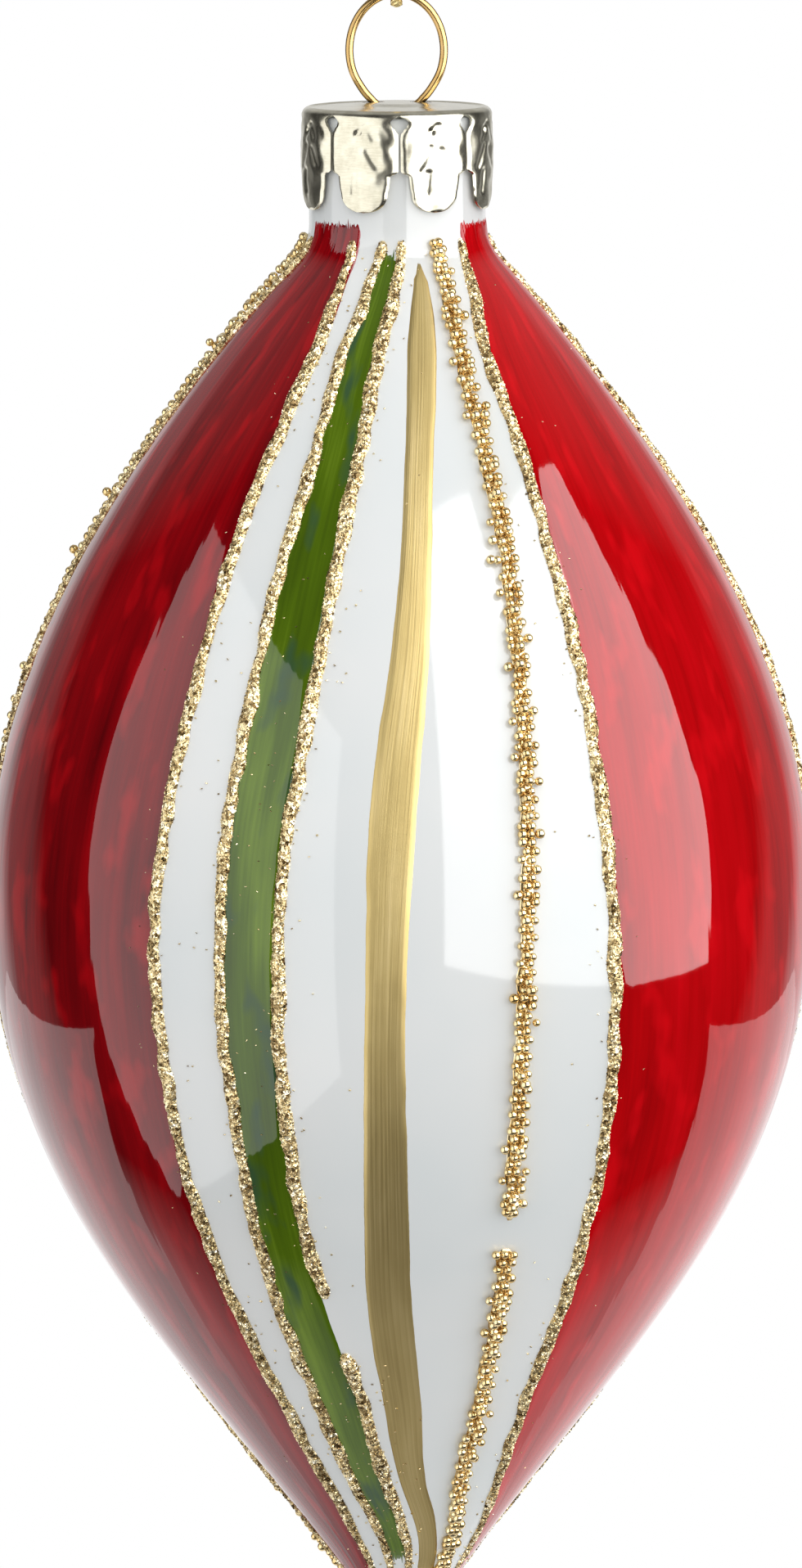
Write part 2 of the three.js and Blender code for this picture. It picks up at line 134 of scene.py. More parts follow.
class Graph:
    """A node tree, for a material, the world or a modifier, and what is added to it."""

    def __init__(self, tree: bpy.types.NodeTree) -> None:
        """Starts from a tree."""
        self.tree = tree

    def node(self, kind: str, settings: dict | None = None, values: dict | None = None) -> Made:
        """Adds a node.

        Args:
            kind: the node's type.
            settings: its properties, set first; stops are the stops of a ramp.
            values: what its inputs take, by name or place: links or constants.

        Returns:
            The node.
        """
        made = self.tree.nodes.new(kind)
        for name, value in (settings or {}).items():
            if name == "stops":
                self._stops(made.color_ramp, value)
            else:
                setattr(made, name, value)
        self.feed(made, values or {})
        return Made(self, made)

    def feed(self, node: bpy.types.Node, values: dict) -> None:
        """Gives a node's inputs links or constants, by name or place."""
        for key, value in values.items():
            if isinstance(value, Link):
                self.tree.links.new(value.socket, node.inputs[key])
            else:
                node.inputs[key].default_value = value

    def feed_own(self, kind: str, values: dict) -> None:
        """Feeds the node of a type that the tree came with."""
        self.feed(next(n for n in self.tree.nodes if n.type == kind), values)

    def shape(self, kind: str, **values: Link | float | bool) -> Link:
        """Adds a node of Geometry Nodes and gives its first output."""
        return self.node(f"GeometryNode{kind}", values=values)[0]

    @staticmethod
    def _stops(ramp: bpy.types.ColorRamp, stops: Sequence[tuple]) -> None:
        """Sets the stops of a colour ramp, as (place, colour)."""
        while len(ramp.elements) > 1:
            ramp.elements.remove(ramp.elements[-1])
        ramp.elements[0].position = stops[0][0]
        ramp.elements[0].color = (*stops[0][1], 1.0)
        for place, colour in stops[1:]:
            ramp.elements.new(place).color = (*colour, 1.0)

    def vector(self, x: Number, y: Number, z: Number) -> Link:
        """A vector of three values."""
        return self.node("ShaderNodeCombineXYZ", values={0: x, 1: y, 2: z})[0]

    def noise(self, place: Link, scale: float, detail: float = 3.0, rough: float = 0.55) -> Link:
        """Perlin noise from 0 to 1 at a place."""
        values = {"Vector": place, "Scale": scale, "Detail": detail, "Roughness": rough}
        return self.node("ShaderNodeTexNoise", values=values)[0]

    def cells(self, place: Link, scale: float) -> Made:
        """Voronoi cells at a place: their distance, and a colour for each."""
        return self.node("ShaderNodeTexVoronoi", values={"Vector": place, "Scale": scale})

    def ramp(self, share: Link, stops: Sequence[tuple]) -> Link:
        """A colour between stops, at a share."""
        return self.node("ShaderNodeValToRGB", {"stops": stops}, {0: share})[0]

    def mix(self, share: Number, first: Link | tuple, second: Link | tuple) -> Link:
        """Two colours mixed."""
        values = {0: share, 6: first, 7: second}
        return self.node("ShaderNodeMix", {"data_type": "RGBA"}, values)[2]

    def clip(self, value: Link, low: float, high: float) -> Link:
        """A value spread from low to high over 0 to 1."""
        return self.node("ShaderNodeMapRange", values={0: value, 1: low, 2: high})[0]

    def bump(self, height: Link, strength: float, distance: float) -> Link:
        """A normal roughened by a height."""
        values = {"Height": height, "Strength": strength, "Distance": distance}
        return self.node("ShaderNodeBump", values=values)[0]

    def input(self, name: str, kind: str, default: float | int | None = None) -> Link:
        """A named input of a modifier's tree.

        Args:
            name: what the input is called.
            kind: its socket's type, such as Float.
            default: the value that it starts from.

        Returns:
            The input, for use inside the tree.
        """
        socket = self.tree.interface.new_socket(name=name, in_out="INPUT", socket_type=f"NodeSocket{kind}")
        if default is not None:
            socket.default_value = default
        ways_in = next((n for n in self.tree.nodes if n.type == "GROUP_INPUT"), None)
        ways_in = ways_in or self.tree.nodes.new("NodeGroupInput")
        return Link(self, next(s for s in ways_in.outputs if s.identifier == socket.identifier))


# Meshes and modifiers


def sheet_of(rows: Sequence[Sequence[Point]]) -> Mesh:
    """Quads between rows of points.

    Args:
        rows: rows of as many points each.

    Returns:
        Points and faces.
    """
    across = len(rows[0])
    faces = []
    for r in range(len(rows) - 1):
        for i in range(r * across, (r + 1) * across - 1):
            faces.append((i, i + across, i + across + 1, i + 1))
    return [p for row in rows for p in row], faces


def slab_of(rows: Sequence[Sequence[Point]], below: float) -> Mesh:
    """A closed slab: a sheet and its underside, with the same outline.

    Args:
        rows: rows of (angle, level, lift), from the left edge to the right one.
        below: the lift of the underside.

    Returns:
        Points and faces.
    """
    points, faces = sheet_of(rows)
    across, count = len(rows[0]), len(points)
    points += [(a, z, below) for a, z, _ in points]
    faces += [tuple(i + count for i in reversed(f)) for f in faces]
    last = count - across
    rim = [*range(across), *range(2 * across - 1, last, across), *range(count - 1, last - 1, -1)]
    rim += range(last - across, 0, -across)
    for i, j in zip(rim, rim[1:] + rim[:1]):
        faces.append((i, j, j + count, i + count))
    return points, faces


def new_object(name: str, data: bpy.types.ID) -> Piece:
    """A new object in the scene, at the origin."""
    made = bpy.data.objects.new(name, data)
    bpy.context.scene.collection.objects.link(made)
    return made


def mesh_object(name: str, mesh: Mesh, edges: Sequence[tuple[int, int]] = ()) -> Piece:
    """A new object of points and faces, or of points and edges."""
    data = bpy.data.meshes.new(name)
    data.from_pydata(mesh[0], edges, mesh[1])
    return new_object(name, data)


def path_object(name: str, paths: Iterable[Sequence[Point]]) -> Piece:
    """A new object of open runs of edges, in metres from millimetres."""
    points, edges = [], []
    for path in paths:
        edges += [(len(points) + i, len(points) + i + 1) for i in range(len(path) - 1)]
        points += [Vector(p) * MM for p in path]
    return mesh_object(name, (points, []), edges)


def formed(piece: Piece, tree: bpy.types.NodeTree, values: dict) -> Piece:
    """Puts a piece's drawing through a modifier's tree, and keeps the result as its mesh.

    Args:
        piece: the object with the drawing.
        tree: the tree.
        values: what the tree's inputs take, by name.

    Returns:
        The piece.
    """
    modifier = piece.modifiers.new(tree.name, "NODES")
    modifier.node_group = tree
    for socket in tree.interface.items_tree:
        if socket.in_out == "INPUT" and socket.name in values:
            modifier[socket.identifier] = values[socket.name]
    return settled(piece)


def settled(piece: Piece) -> Piece:
    """Turns what a piece's modifiers make into its mesh, and removes them."""
    shown = bpy.context.evaluated_depsgraph_get()
    shown.update()
    data = bpy.data.meshes.new_from_object(piece.evaluated_get(shown), depsgraph=shown)
    piece.modifiers.clear()
    piece.data = data
    data.name = piece.name
    return piece


def faced_out(piece: Piece, merge: float = CLOSE) -> Piece:
    """Merges a piece's doubled points and turns its faces outwards."""
    work_mesh = bmesh.new()
    work_mesh.from_mesh(piece.data)
    bmesh.ops.remove_doubles(work_mesh, verts=work_mesh.verts, dist=merge)
    bmesh.ops.recalc_face_normals(work_mesh, faces=work_mesh.faces)
    work_mesh.to_mesh(piece.data)
    work_mesh.free()
    return piece


def smooth(piece: Piece, angle: float = 40.0) -> Piece:
    """Shades a piece smooth, except over edges sharper than an angle in degrees."""
    piece.data.shade_smooth()
    piece.data.set_sharp_from_angle(angle=math.radians(angle))
    return piece


def curve_through(points: Sequence[Sequence[float]], share: float) -> tuple[float, ...]:
    """The place at a share of the way along a smooth curve through points at even steps."""
    place = share * (len(points) - 1)
    i = min(int(place), len(points) - 2)
    t = place - i
    a, b, c, d = (points[max(0, min(len(points) - 1, i + k))] for k in (-1, 0, 1, 2))
    return tuple(
        0.5 * (2 * q + (r - p) * t + (2 * p - 5 * q + 4 * r - s) * t**2 + (3 * q - p - 3 * r + s) * t**3)
        for p, q, r, s in zip(a, b, c, d)
    )


def blend_of(stops: Sequence[tuple[float, float]], place: float) -> float:
    """A value between stops of (place, value), eased from each to the next."""
    if place <= stops[0][0]:
        return stops[0][1]
    for (a, p), (b, q) in zip(stops, stops[1:]):
        if place <= b:
            t = (place - a) / (b - a)
            return p + (q - p) * t * t * (3 - 2 * t)
    return stops[-1][1]


# Finishes


@dataclass(frozen=True)
class Finish:
    """The look of one material slot."""

    slot: str
    name: str

    def material(self) -> bpy.types.Material:
        """The finish's material, made once."""
        known = bpy.data.materials.get(self.name)
        if known:
            return known
        made = bpy.data.materials.new(self.name)
        made.use_nodes = True
        graph = Graph(made.node_tree)
        graph.feed_own("BSDF_PRINCIPLED", self.paint(graph))
        return made

    def paint(self, graph: Graph) -> dict:
        """What the shader's sockets take: overridden by each finish."""
        raise NotImplementedError

    @staticmethod
    def place(graph: Graph) -> Link:
        """Object coordinates, in metres."""
        return graph.node("ShaderNodeTexCoord")["Object"]

    @staticmethod
    def streaks(graph: Graph, across: float, down: float, detail: float = 3.0, rough: float = 0.55) -> Link:
        """Noise over the run map, so many times across and down a tenth of a metre."""
        u, v, _ = graph.node("ShaderNodeUVMap", {"uv_map": "run"})[0].parts()
        return graph.noise(graph.vector(u * across, v * down, 0.0), 1.0, detail, rough)


@dataclass(frozen=True)
class OpalGlass(Finish):
    """Glossy milk-white blown glass, a touch cooler where it is thin."""

    milk: tuple = (0.86, 0.875, 0.87, 1.0)
    cool: tuple = (0.79, 0.83, 0.835, 1.0)

    def paint(self, graph: Graph) -> dict:
        """Clouds of thicker and thinner white, and the faint ripple of blown glass."""
        place = self.place(graph)
        clouds = graph.noise(place, 38.0, 3.0)
        ripple = graph.noise(place, 24.0, 1.0)
        pits = graph.noise(place, 900.0, 2.0)
        return {
            "Base Color": graph.mix(graph.clip(clouds, 0.35, 0.7), self.milk, self.cool),
            "Roughness": 0.04 + 0.03 * pits,
            "IOR": 1.5,
            "Normal": graph.bump(ripple, 0.25, 0.0006),
        }


@dataclass(frozen=True)
class Enamel(Finish):
    """Translucent lacquer laid on with a brush along its run."""

    stops: tuple = ()
    patches: tuple = (0.0, 0.0, 0.0)
    patchy: float = 0.0

    def paint(self, graph: Graph) -> dict:
        """Long streaks of more and less lacquer, and patches of a second pass."""
        fine = self.streaks(graph, 260.0, 5.0, 4.0, 0.6)
        wide = self.streaks(graph, 42.0, 3.2)
        cloud = self.streaks(graph, 16.0, 3.0)
        spots = self.streaks(graph, 24.0, 12.0, 2.0)
        coat = 0.16 * fine + 0.3 * wide + 0.54 * cloud
        colour = graph.ramp(graph.clip(coat, 0.34, 0.66), self.stops)
        second = graph.clip(spots, 0.54, 0.66) * self.patchy
        return {
            "Base Color": graph.mix(second, colour, (*self.patches, 1.0)),
            "Roughness": 0.02 + 0.02 * fine,
            "IOR": 1.5,
            "Normal": graph.bump(cloud, 0.3, 0.0002),
        }


@dataclass(frozen=True)
class GoldPaint(Finish):
    """Satin gold paint with the brush's lines along it."""

    def paint(self, graph: Graph) -> dict:
        """Brushed lines in colour, gloss and relief."""
        lines = self.streaks(graph, 420.0, 2.5, 4.0, 0.65)
        cloud = self.streaks(graph, 30.0, 9.0, 2.0)
        tone = graph.clip(0.6 * lines + 0.4 * cloud, 0.3, 0.7)
        stops = ((0.0, (0.37, 0.275, 0.105)), (0.5, (0.49, 0.375, 0.155)), (1.0, (0.62, 0.49, 0.24)))
        return {
            "Base Color": graph.ramp(tone, stops),
            "Metallic": 0.88,
            "Roughness": 0.37 + 0.15 * lines,
            "Normal": graph.bump(lines, 0.35, 0.00008),
        }


@dataclass(frozen=True)
class Glitter(Finish):
    """Champagne-gold flakes, some silvery and some dark, in clear glue."""

    def paint(self, graph: Graph) -> dict:
        """A tone for each flake, and facets of flakes still under the glue."""
        place = self.place(graph)
        cells = graph.cells(place, 2600.0)
        tone, shine, _ = cells["Color"].parts()
        stops = (
            (0.0, (0.14, 0.085, 0.03)),
            (0.25, (0.42, 0.31, 0.15)),
            (0.55, (0.66, 0.53, 0.29)),
            (0.85, (0.84, 0.72, 0.45)),
            (1.0, (1.0, 0.92, 0.72)),
        )
        return {
            "Base Color": graph.ramp(tone, stops),
            "Metallic": 0.9,
            "Roughness": 0.18 + 0.25 * shine,
            "Normal": graph.bump(cells["Distance"], 0.5, 0.0002),
        }


@dataclass(frozen=True)
class Beads(Finish):
    """Small gold-coated beads, a few paler or rosier than the rest."""

    def paint(self, graph: Graph) -> dict:
        """A tone for each bead, and thin spots of its coat."""
        place = self.place(graph)
        tone = graph.cells(place, 1000.0)["Color"].parts()[0]
        worn = graph.noise(place, 3000.0, 2.0)
        stops = ((0.0, (0.62, 0.43, 0.18)), (0.5, (0.77, 0.59, 0.3)), (1.0, (0.88, 0.73, 0.44)))
        return {
            "Base Color": graph.ramp(tone, stops),
            "Metallic": 0.85,
            "Roughness": 0.08 + 0.08 * worn,
        }


@dataclass(frozen=True)
class StampedSheet(Finish):
    """Bright champagne sheet metal, rolled and stamped, duller where it was handled."""

    def paint(self, graph: Graph) -> dict:
        """Mottling, fine rolling lines and a soft hammered waviness."""
        place = self.place(graph)
        x, y, z = place.parts()
        mottle = graph.noise(place, 620.0, 3.0)
        rolled = graph.noise(graph.vector(x * 900.0, y * 900.0, z * 9000.0), 1.0, 2.0)
        waves = graph.noise(place, 300.0, 2.0, 0.4)
        tone = graph.clip(0.7 * mottle + 0.3 * rolled, 0.3, 0.7)
        stops = ((0.0, (0.46, 0.43, 0.33)), (0.5, (0.58, 0.55, 0.44)), (1.0, (0.7, 0.67, 0.55)))
        return {
            "Base Color": graph.ramp(tone, stops),
            "Metallic": 1.0,
            "Roughness": 0.16 + 0.12 * mottle,
            "Normal": graph.bump(waves + 0.02 * rolled, 0.2, 0.0003),
        }


@dataclass(frozen=True)
class DrawnWire(Finish):
    """Brass-coloured spring wire with drawing lines and specks of tarnish."""

    def paint(self, graph: Graph) -> dict:
        """Tone, tarnish and gloss along the wire."""
        place = self.place(graph)
        drawn = graph.noise(place, 900.0, 2.0)
        tarnish = 0.6 * graph.clip(graph.noise(place, 240.0, 2.0), 0.52, 0.8)
        bright = graph.ramp(drawn, ((0.25, (0.44, 0.28, 0.1)), (0.75, (0.54, 0.36, 0.15))))
        return {
            "Base Color": graph.mix(tarnish, bright, (0.24, 0.14, 0.05, 1.0)),
            "Metallic": 1.0,
            "Roughness": 0.16 + 0.14 * drawn + 0.15 * tarnish,
            "Normal": graph.bump(drawn, 0.15, 0.00005),
        }


@dataclass(frozen=True)
class MetallicThread(Finish):
    """Thread of twisted plies, each a yarn wound in metallic foil."""

    def paint(self, graph: Graph) -> dict:
        """Turns of foil over a darker yarn."""
        place = self.place(graph)
        x, y, z = place.parts()
        slant = z * 5200.0 + (x + y) * 2600.0
        turns = 0.5 + 0.5 * work("SINE", slant)
        fuzz = graph.noise(place, 5200.0, 2.0)
        foil = graph.ramp(0.7 * turns + 0.3 * fuzz, (
            (0.15, (0.3, 0.19, 0.05)),
            (0.45, (0.72, 0.53, 0.2)),
            (0.9, (0.95, 0.8, 0.43)),
        ))
        return {
            "Base Color": foil,
            "Metallic": 0.45 + 0.45 * turns,
            "Roughness": 0.3 + 0.25 * fuzz,
            "Normal": graph.bump(0.8 * turns + 0.2 * fuzz, 0.6, 0.0001),
        }


OPAL = OpalGlass("opal_glass", "opal glass")
RED = Enamel(
    "red_enamel", "red enamel",
    stops=((0.0, (0.3, 0.0006, 0.002)), (0.5, (0.48, 0.001, 0.003)), (1.0, (0.62, 0.0016, 0.006))),
    patches=(0.76, 0.003, 0.008), patchy=0.5,
)
DEEP_RED = Enamel(
    "red_enamel", "deep red enamel",
    stops=((0.0, (0.09, 0.0004, 0.002)), (0.5, (0.21, 0.0006, 0.003)), (1.0, (0.34, 0.001, 0.004))),
    patches=(0.5, 0.002, 0.006), patchy=0.5,
)
GREEN = Enamel(
    "green_enamel", "green enamel",
    stops=((0.0, (0.04, 0.075, 0.004)), (0.5, (0.08, 0.145, 0.005)), (1.0, (0.19, 0.3, 0.02))),
    patches=(0.035, 0.085, 0.045), patchy=0.8,
)
GOLD = GoldPaint("gold_paint", "gold paint")
GLITTER = Glitter("gold_glitter", "gold glitter")
BEADS = Beads("gold_beads", "gold beads")
SHEET = StampedSheet("cap_metal", "stamped sheet")
BRASS = DrawnWire("ring_wire", "drawn wire")
THREAD = MetallicThread("metallic_thread", "metallic thread")


def placed(piece: Piece, body: str, finish: Finish, nodes: Sequence[str]) -> Piece:
    """Gives a piece its finish and its body, and hides the nodes that it stands for.

    Args:
        piece: the finished object.
        body: the body that it moves with.
        finish: its finish.
        nodes: the nodes that it replaces.

    Returns:
        The piece.
    """
    if not piece.data.materials:
        piece.data.materials.append(finish.material())
    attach(piece, body)
    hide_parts(*nodes)
    piece.data.calc_loop_triangles()
    log.info("%s: %d triangles on %s", piece.name, len(piece.data.loop_triangles), body)
    return piece


# The glass


@dataclass(frozen=True)
class Outline:
    """The outline of the glass, in millimetres: a neck, a shoulder and a drop."""

    glass_radius: Number = 40.0
    neck_radius: Number = 8.6
    flare: Number = -24.0
    shoulder_height: Number = 62.6
    drop_height: Number = 79.0
    flare_fillet: Number = 2.0
    shoulder_curve: Number = 0.95
    drop_start: Number = 1.15
    drop_point: Number = 1.4

    def reach(self, depth: Number) -> Number:
        """How far the shoulder stands out past the neck, at a depth under the flare."""
        share = work("MINIMUM", depth / self.shoulder_height, 1.0)
        return (self.glass_radius - self.neck_radius) * work("SINE", math.pi / 2 * share**self.shoulder_curve)

    def radius(self, level: Number) -> Number:
        """The outside radius of the glass at a level."""
        depth = self.flare - level
        turn = held((depth + self.flare_fillet) / (2 * self.flare_fillet))
        fillet = self.reach(self.flare_fillet) * turn**2.0
        shoulder = self.reach(work("MAXIMUM", depth, self.flare_fillet))
        down = held((depth - self.shoulder_height) / self.drop_height)
        swing = work("MAXIMUM", 0.0, work("COSINE", math.pi / 2 * down**self.drop_start))
        drop = self.glass_radius * swing**self.drop_point
        above = work("LESS_THAN", depth, self.shoulder_height)
        curved = work("LESS_THAN", depth, self.flare_fillet)
        upper = self.neck_radius + shoulder + (fillet - shoulder) * curved
        return drop + (upper - drop) * above

    def slope(self, level: Number) -> Number:
        """How fast the radius grows upwards at a level."""
        step = 0.05
        return (self.radius(level + step) - self.radius(level - step)) / (2 * step)

    def place(self, angle: Number, level: Number, lift: Number) -> tuple[Number, Number, Number]:
        """A place over the glass.

        Args:
            angle: radians round from the front.
            level: the height along the axis.
            lift: how far off the surface, square to it.

        Returns:
            The place's x, y and z, in millimetres.
        """
        slope = self.slope(level)
        length = work("SQRT", 1.0 + slope * slope)
        radius = self.radius(level) + lift / length
        x, y = radius * work("SINE", angle), radius * -1.0 * work("COSINE", angle)
        return x, y, level - lift * slope / length

    def laid(self, graph: Graph, drawing: Link) -> Link:
        """Lays a flat drawing on the glass, from named sizes.

        Args:
            graph: the modifier's tree.
            drawing: geometry whose x is the angle, y the level and z the lift.

        Returns:
            The geometry in its place, in metres.
        """
        sizes = {f.name: graph.input(label(f.name), "Float", getattr(self, f.name)) for f in fields(self)}
        angle, level, lift = graph.node("GeometryNodeInputPosition")[0].parts()
        x, y, z = replace(self, **sizes).place(angle, level, lift)
        place = graph.vector(x * MM, y * MM, z * MM)
        return graph.shape("SetPosition", Geometry=drawing, Position=place)

    def values(self, finish: Finish, **more: float) -> dict:
        """What a tree that lays a drawing takes: the named sizes, a finish, and more."""
        sizes = {label(f.name): getattr(self, f.name) for f in fields(self)}
        return sizes | {"Finish": finish.material()} | more


def label(name: str) -> str:
    """A field's name as an input shows it."""
    return name.replace("_", " ").capitalize()


OUTLINE = Outline()
TIP = OUTLINE.flare - OUTLINE.shoulder_height - OUTLINE.drop_height


def finished(graph: Graph, shape: Link, flat: bool = False) -> bpy.types.NodeTree:
    """Ends a modifier's tree: realized, shaded and with its material."""
    shape = graph.shape("RealizeInstances", Geometry=shape)
    shape = graph.shape("SetShadeSmooth", **{"Geometry": shape, "Shade Smooth": not flat})
    shape = graph.shape("SetMaterial", Geometry=shape, Material=graph.input("Finish", "Material"))
    graph.tree.interface.new_socket(name="Piece", in_out="OUTPUT", socket_type="NodeSocketGeometry")
    graph.node("NodeGroupOutput", values={0: shape})
    return graph.tree


def new_tree(name: str) -> tuple[Graph, Link]:
    """A modifier's tree and the drawing that it starts from."""
    graph = Graph(bpy.data.node_groups.new(name, "GeometryNodeTree"))
    return graph, graph.input("Drawing", "Geometry")


def laid_tree(name: str, closed: bool = False) -> bpy.types.NodeTree:
    """Lays a flat drawing on the glass; closed also joins its seams and poles."""
    graph, drawing = new_tree(name)
    shape = OUTLINE.laid(graph, drawing)
    if closed:
        shape = graph.shape("MergeByDistance", Geometry=shape, Distance=CLOSE)
    return finished(graph, shape)


def with_run(piece: Piece, left: Callable, right: Callable) -> Piece:
    """Keeps a stripe's drawing as a UV map before it is laid: streaks follow its edges.

    Args:
        piece: the flat drawing.
        left: the angle of the stripe's left edge at a level.
        right: the angle of its right edge.

    Returns:
        The piece.
    """
    data = piece.data
    spots = []
    for vertex in data.vertices:
        angle, level, _ = vertex.co
        a, b = left(level), right(level)
        spots.append(((angle - a) / (b - a), level * RUN, (b - a) * OUTLINE.radius(level)))
    wide = max(spot[2] for spot in spots) * RUN
    run = data.uv_layers.new(name="run")
    for loop in data.loops:
        share, down, _ = spots[loop.vertex_index]
        run.data[loop.index].uv = (share * wide, down)
    return piece


@dataclass
class BlownGlass:
    """The hollow glass: an open neck, the shoulder, the drop and a solid tip."""

    neck_top: float = NECK_TOP
    tip: float = TIP
    wall: float = 0.8
    tip_solid: float = 7.0
    lip: float = 0.25
    sides: int = 144

    def levels(self) -> list[float]:
        """Levels of the outside, closer together where it curves most."""
        flare = OUTLINE.flare
        stops = [
            (self.neck_top - self.lip, 4), (flare + 2.4, 18), (flare - 3.0, 66),
            (flare - OUTLINE.shoulder_height, 74), (self.tip + 6.0, 26), (self.tip, 1),
        ]
        levels = []
        for (a, count), (b, _) in zip(stops, stops[1:]):
            levels += [a + (b - a) * i / count for i in range(count)]
        return [*levels, self.tip]

    def build(self) -> Piece:
        """The glass as one closed wall."""
        inner = [z for z in self.levels()[::2] if z > self.tip + self.tip_solid + self.wall]
        floor = self.tip + self.tip_solid
        section = [(z, 0.0) for z in reversed(self.levels())]
        for turn in (30, 60, 90, 120, 150):
            reach = 0.5 * self.wall * (1 - math.cos(math.radians(turn)))
            section.append((self.neck_top - self.lip * (1 - math.sin(math.radians(turn))), -reach))
        section += [(z, -self.wall) for z in inner]
        section.append((floor, -OUTLINE.radius(floor) * math.hypot(1, OUTLINE.slope(floor))))
        turns = [2 * math.pi * i / self.sides for i in range(self.sides + 1)]
        drawing = mesh_object("blown_glass", sheet_of([[(t, z, lift) for t in turns] for z, lift in section]))
        return faced_out(formed(drawing, laid_tree("blown glass", closed=True), OUTLINE.values(OPAL)))

    def dress(self) -> None:
        """Builds the glass and puts it in its place."""
        placed(smooth(self.build(), 60.0), "glass", OPAL, ["glass_body"])


# The decoration


class Line(Enum):
    """The lines that the trails follow, as degrees round from the front at even steps down."""

    RED_RIGHT = (
        -29, -28.2, -30.9, -32.4, -33, -33.8, -35, -36.1, -35.8, -35.5, -35.6, -35, -34, -32.4, -28.3,
    )
    GREEN_LEFT = (-9.6, -18, -19.6, -21.6, -22.6, -23.8, -25, -25.5, -25.4, -25, -25, -24.7, -23.3, -20, -9.6)
    GREEN_RIGHT = (2.4, -5.8, -8.7, -11, -12.6, -14.2, -16, -17, -17.2, -17, -16.4, -14.3, -10.8, -6.6, 5.3)
    GOLD = (13.1, 8.5, 5.2, 3.4, 1.9, 0, -1.2, -1.8, -2.2, -2.3, -2.4, -2.2, 0, 4.5, 20.6)
    BEADS = (24.8, 21.1, 20.6, 20.2, 19.2, 18.5, 18, 17.5, 17.2, 17.3, 18.1, 19.2, 21.2, 24, 35.1)
    RED_LEFT = (43.9, 31.6, 30.1, 29.7, 29.9, 29.7, 30.2, 30.8, 31.5, 32.2, 32.8, 34.1, 35.3, 42.6, 59.1)

    def angle(self, level: float, third: int = 0, aside: float = 0.0) -> float:
        """Radians round from the front at a level, on a repeat of the pattern, millimetres aside."""
        degrees = at_level(self.value, level) + at_level(REPEATS[third], level)
        return math.radians(degrees) + aside / OUTLINE.radius(level)


LINE_TOP = OUTLINE.flare + 0.9
LINE_FOOT = TIP + 12.5
TRAIL_FOOT = TIP + 9.0
# How far round each repeat stands at even steps down, as the hand spaced them, and the first again
REPEATS = (
    (0,) * 8,
    (122, 123, 124, 127, 131, 132, 131, 125),
    (246, 241, 240.5, 238, 234.5, 230.5, 229, 227),
    (360,) * 8,
)
# Radius of the glass from which on the trails have their full width
FULL_FROM = 14.0
GOLD_WIDTHS = (0.8, 3, 3, 3.2, 3.9, 4.6, 4.8, 4.3, 4.2, 4.4, 4.6, 4.6, 4, 2.8, 2)


def at_level(values: Sequence[float], level: float) -> float:
    """The value at a level of a smooth curve through values at even steps down."""
    share = held((LINE_TOP - level) / (LINE_TOP - LINE_FOOT))
    return curve_through([(v,) for v in values], share)[0]


def waver(x: float, y: float, z: float = 0.0) -> float:
    """Smooth noise from -1 to 1 at a place."""
    return noise.noise(Vector((x, y, z)))


def taper(level: float) -> float:
    """How fine the trails are drawn, where the glass narrows to its tip."""
    return min(1.0, OUTLINE.radius(level) / FULL_FROM)


@dataclass
class Coat:
    """A brushed stripe: a thin skin of lacquer between two edges."""

    name: str
    node: str
    finish: Finish
    left: Callable[[float], float]
    right: Callable[[float], float]
    top: float
    foot: float
    columns: int
    seed: int
    bristles: float = 0.7
    thick: float = 0.09
    sunk: float = -0.04
    underside: float = -0.12
    feather: float = 0.22
    sway: float = 0.09
    ragged: float = 3.0
    step: float = 0.8
    round_top: bool = False

    def build(self) -> Piece:
        """The skin, with jagged ends where the brush was set down and lifted."""
        count = int((self.top - self.foot) / self.step)
        rows = []
        for i in range(count + 1):
            share = i / count
            end = i in (0, count)
            rows.append([self._spot(share, c / self.columns, end) for c in range(self.columns + 1)])
        piece = with_run(mesh_object(self.name, slab_of(rows, self.underside)), self.left, self.right)
        return formed(piece, bpy.data.node_groups["coat"], OUTLINE.values(self.finish))

    def _spot(self, share: float, across: float, end: bool) -> Point:
        """One point of the skin, at shares of the way down and across."""
        level = self.top + (self.foot - self.top) * share
        bristle = waver(across * self.columns * 0.9, self.seed)
        edge = abs(2 * across - 1)
        start = math.exp(-((self.top - level) / self.ragged))
        finish = math.exp(-((level - self.foot) / self.ragged))
        level += self.bristles * 1.6 * bristle * (start - finish)
        if self.round_top:
            level -= 1.6 * edge**2.5 * start
        left, right = self.left(level), self.right(level)
        radius = OUTLINE.radius(level)
        sway = self.sway * waver(level * 0.35, self.seed, across)
        inner = self.feather / radius
        if across in (0.0, 1.0):
            return ((right if across else left) + sway / radius, level, self.sunk)
        angle = left + inner + (right - left - 2 * inner) * across + sway / radius
        return (angle, level, self.sunk if end else self.thick)


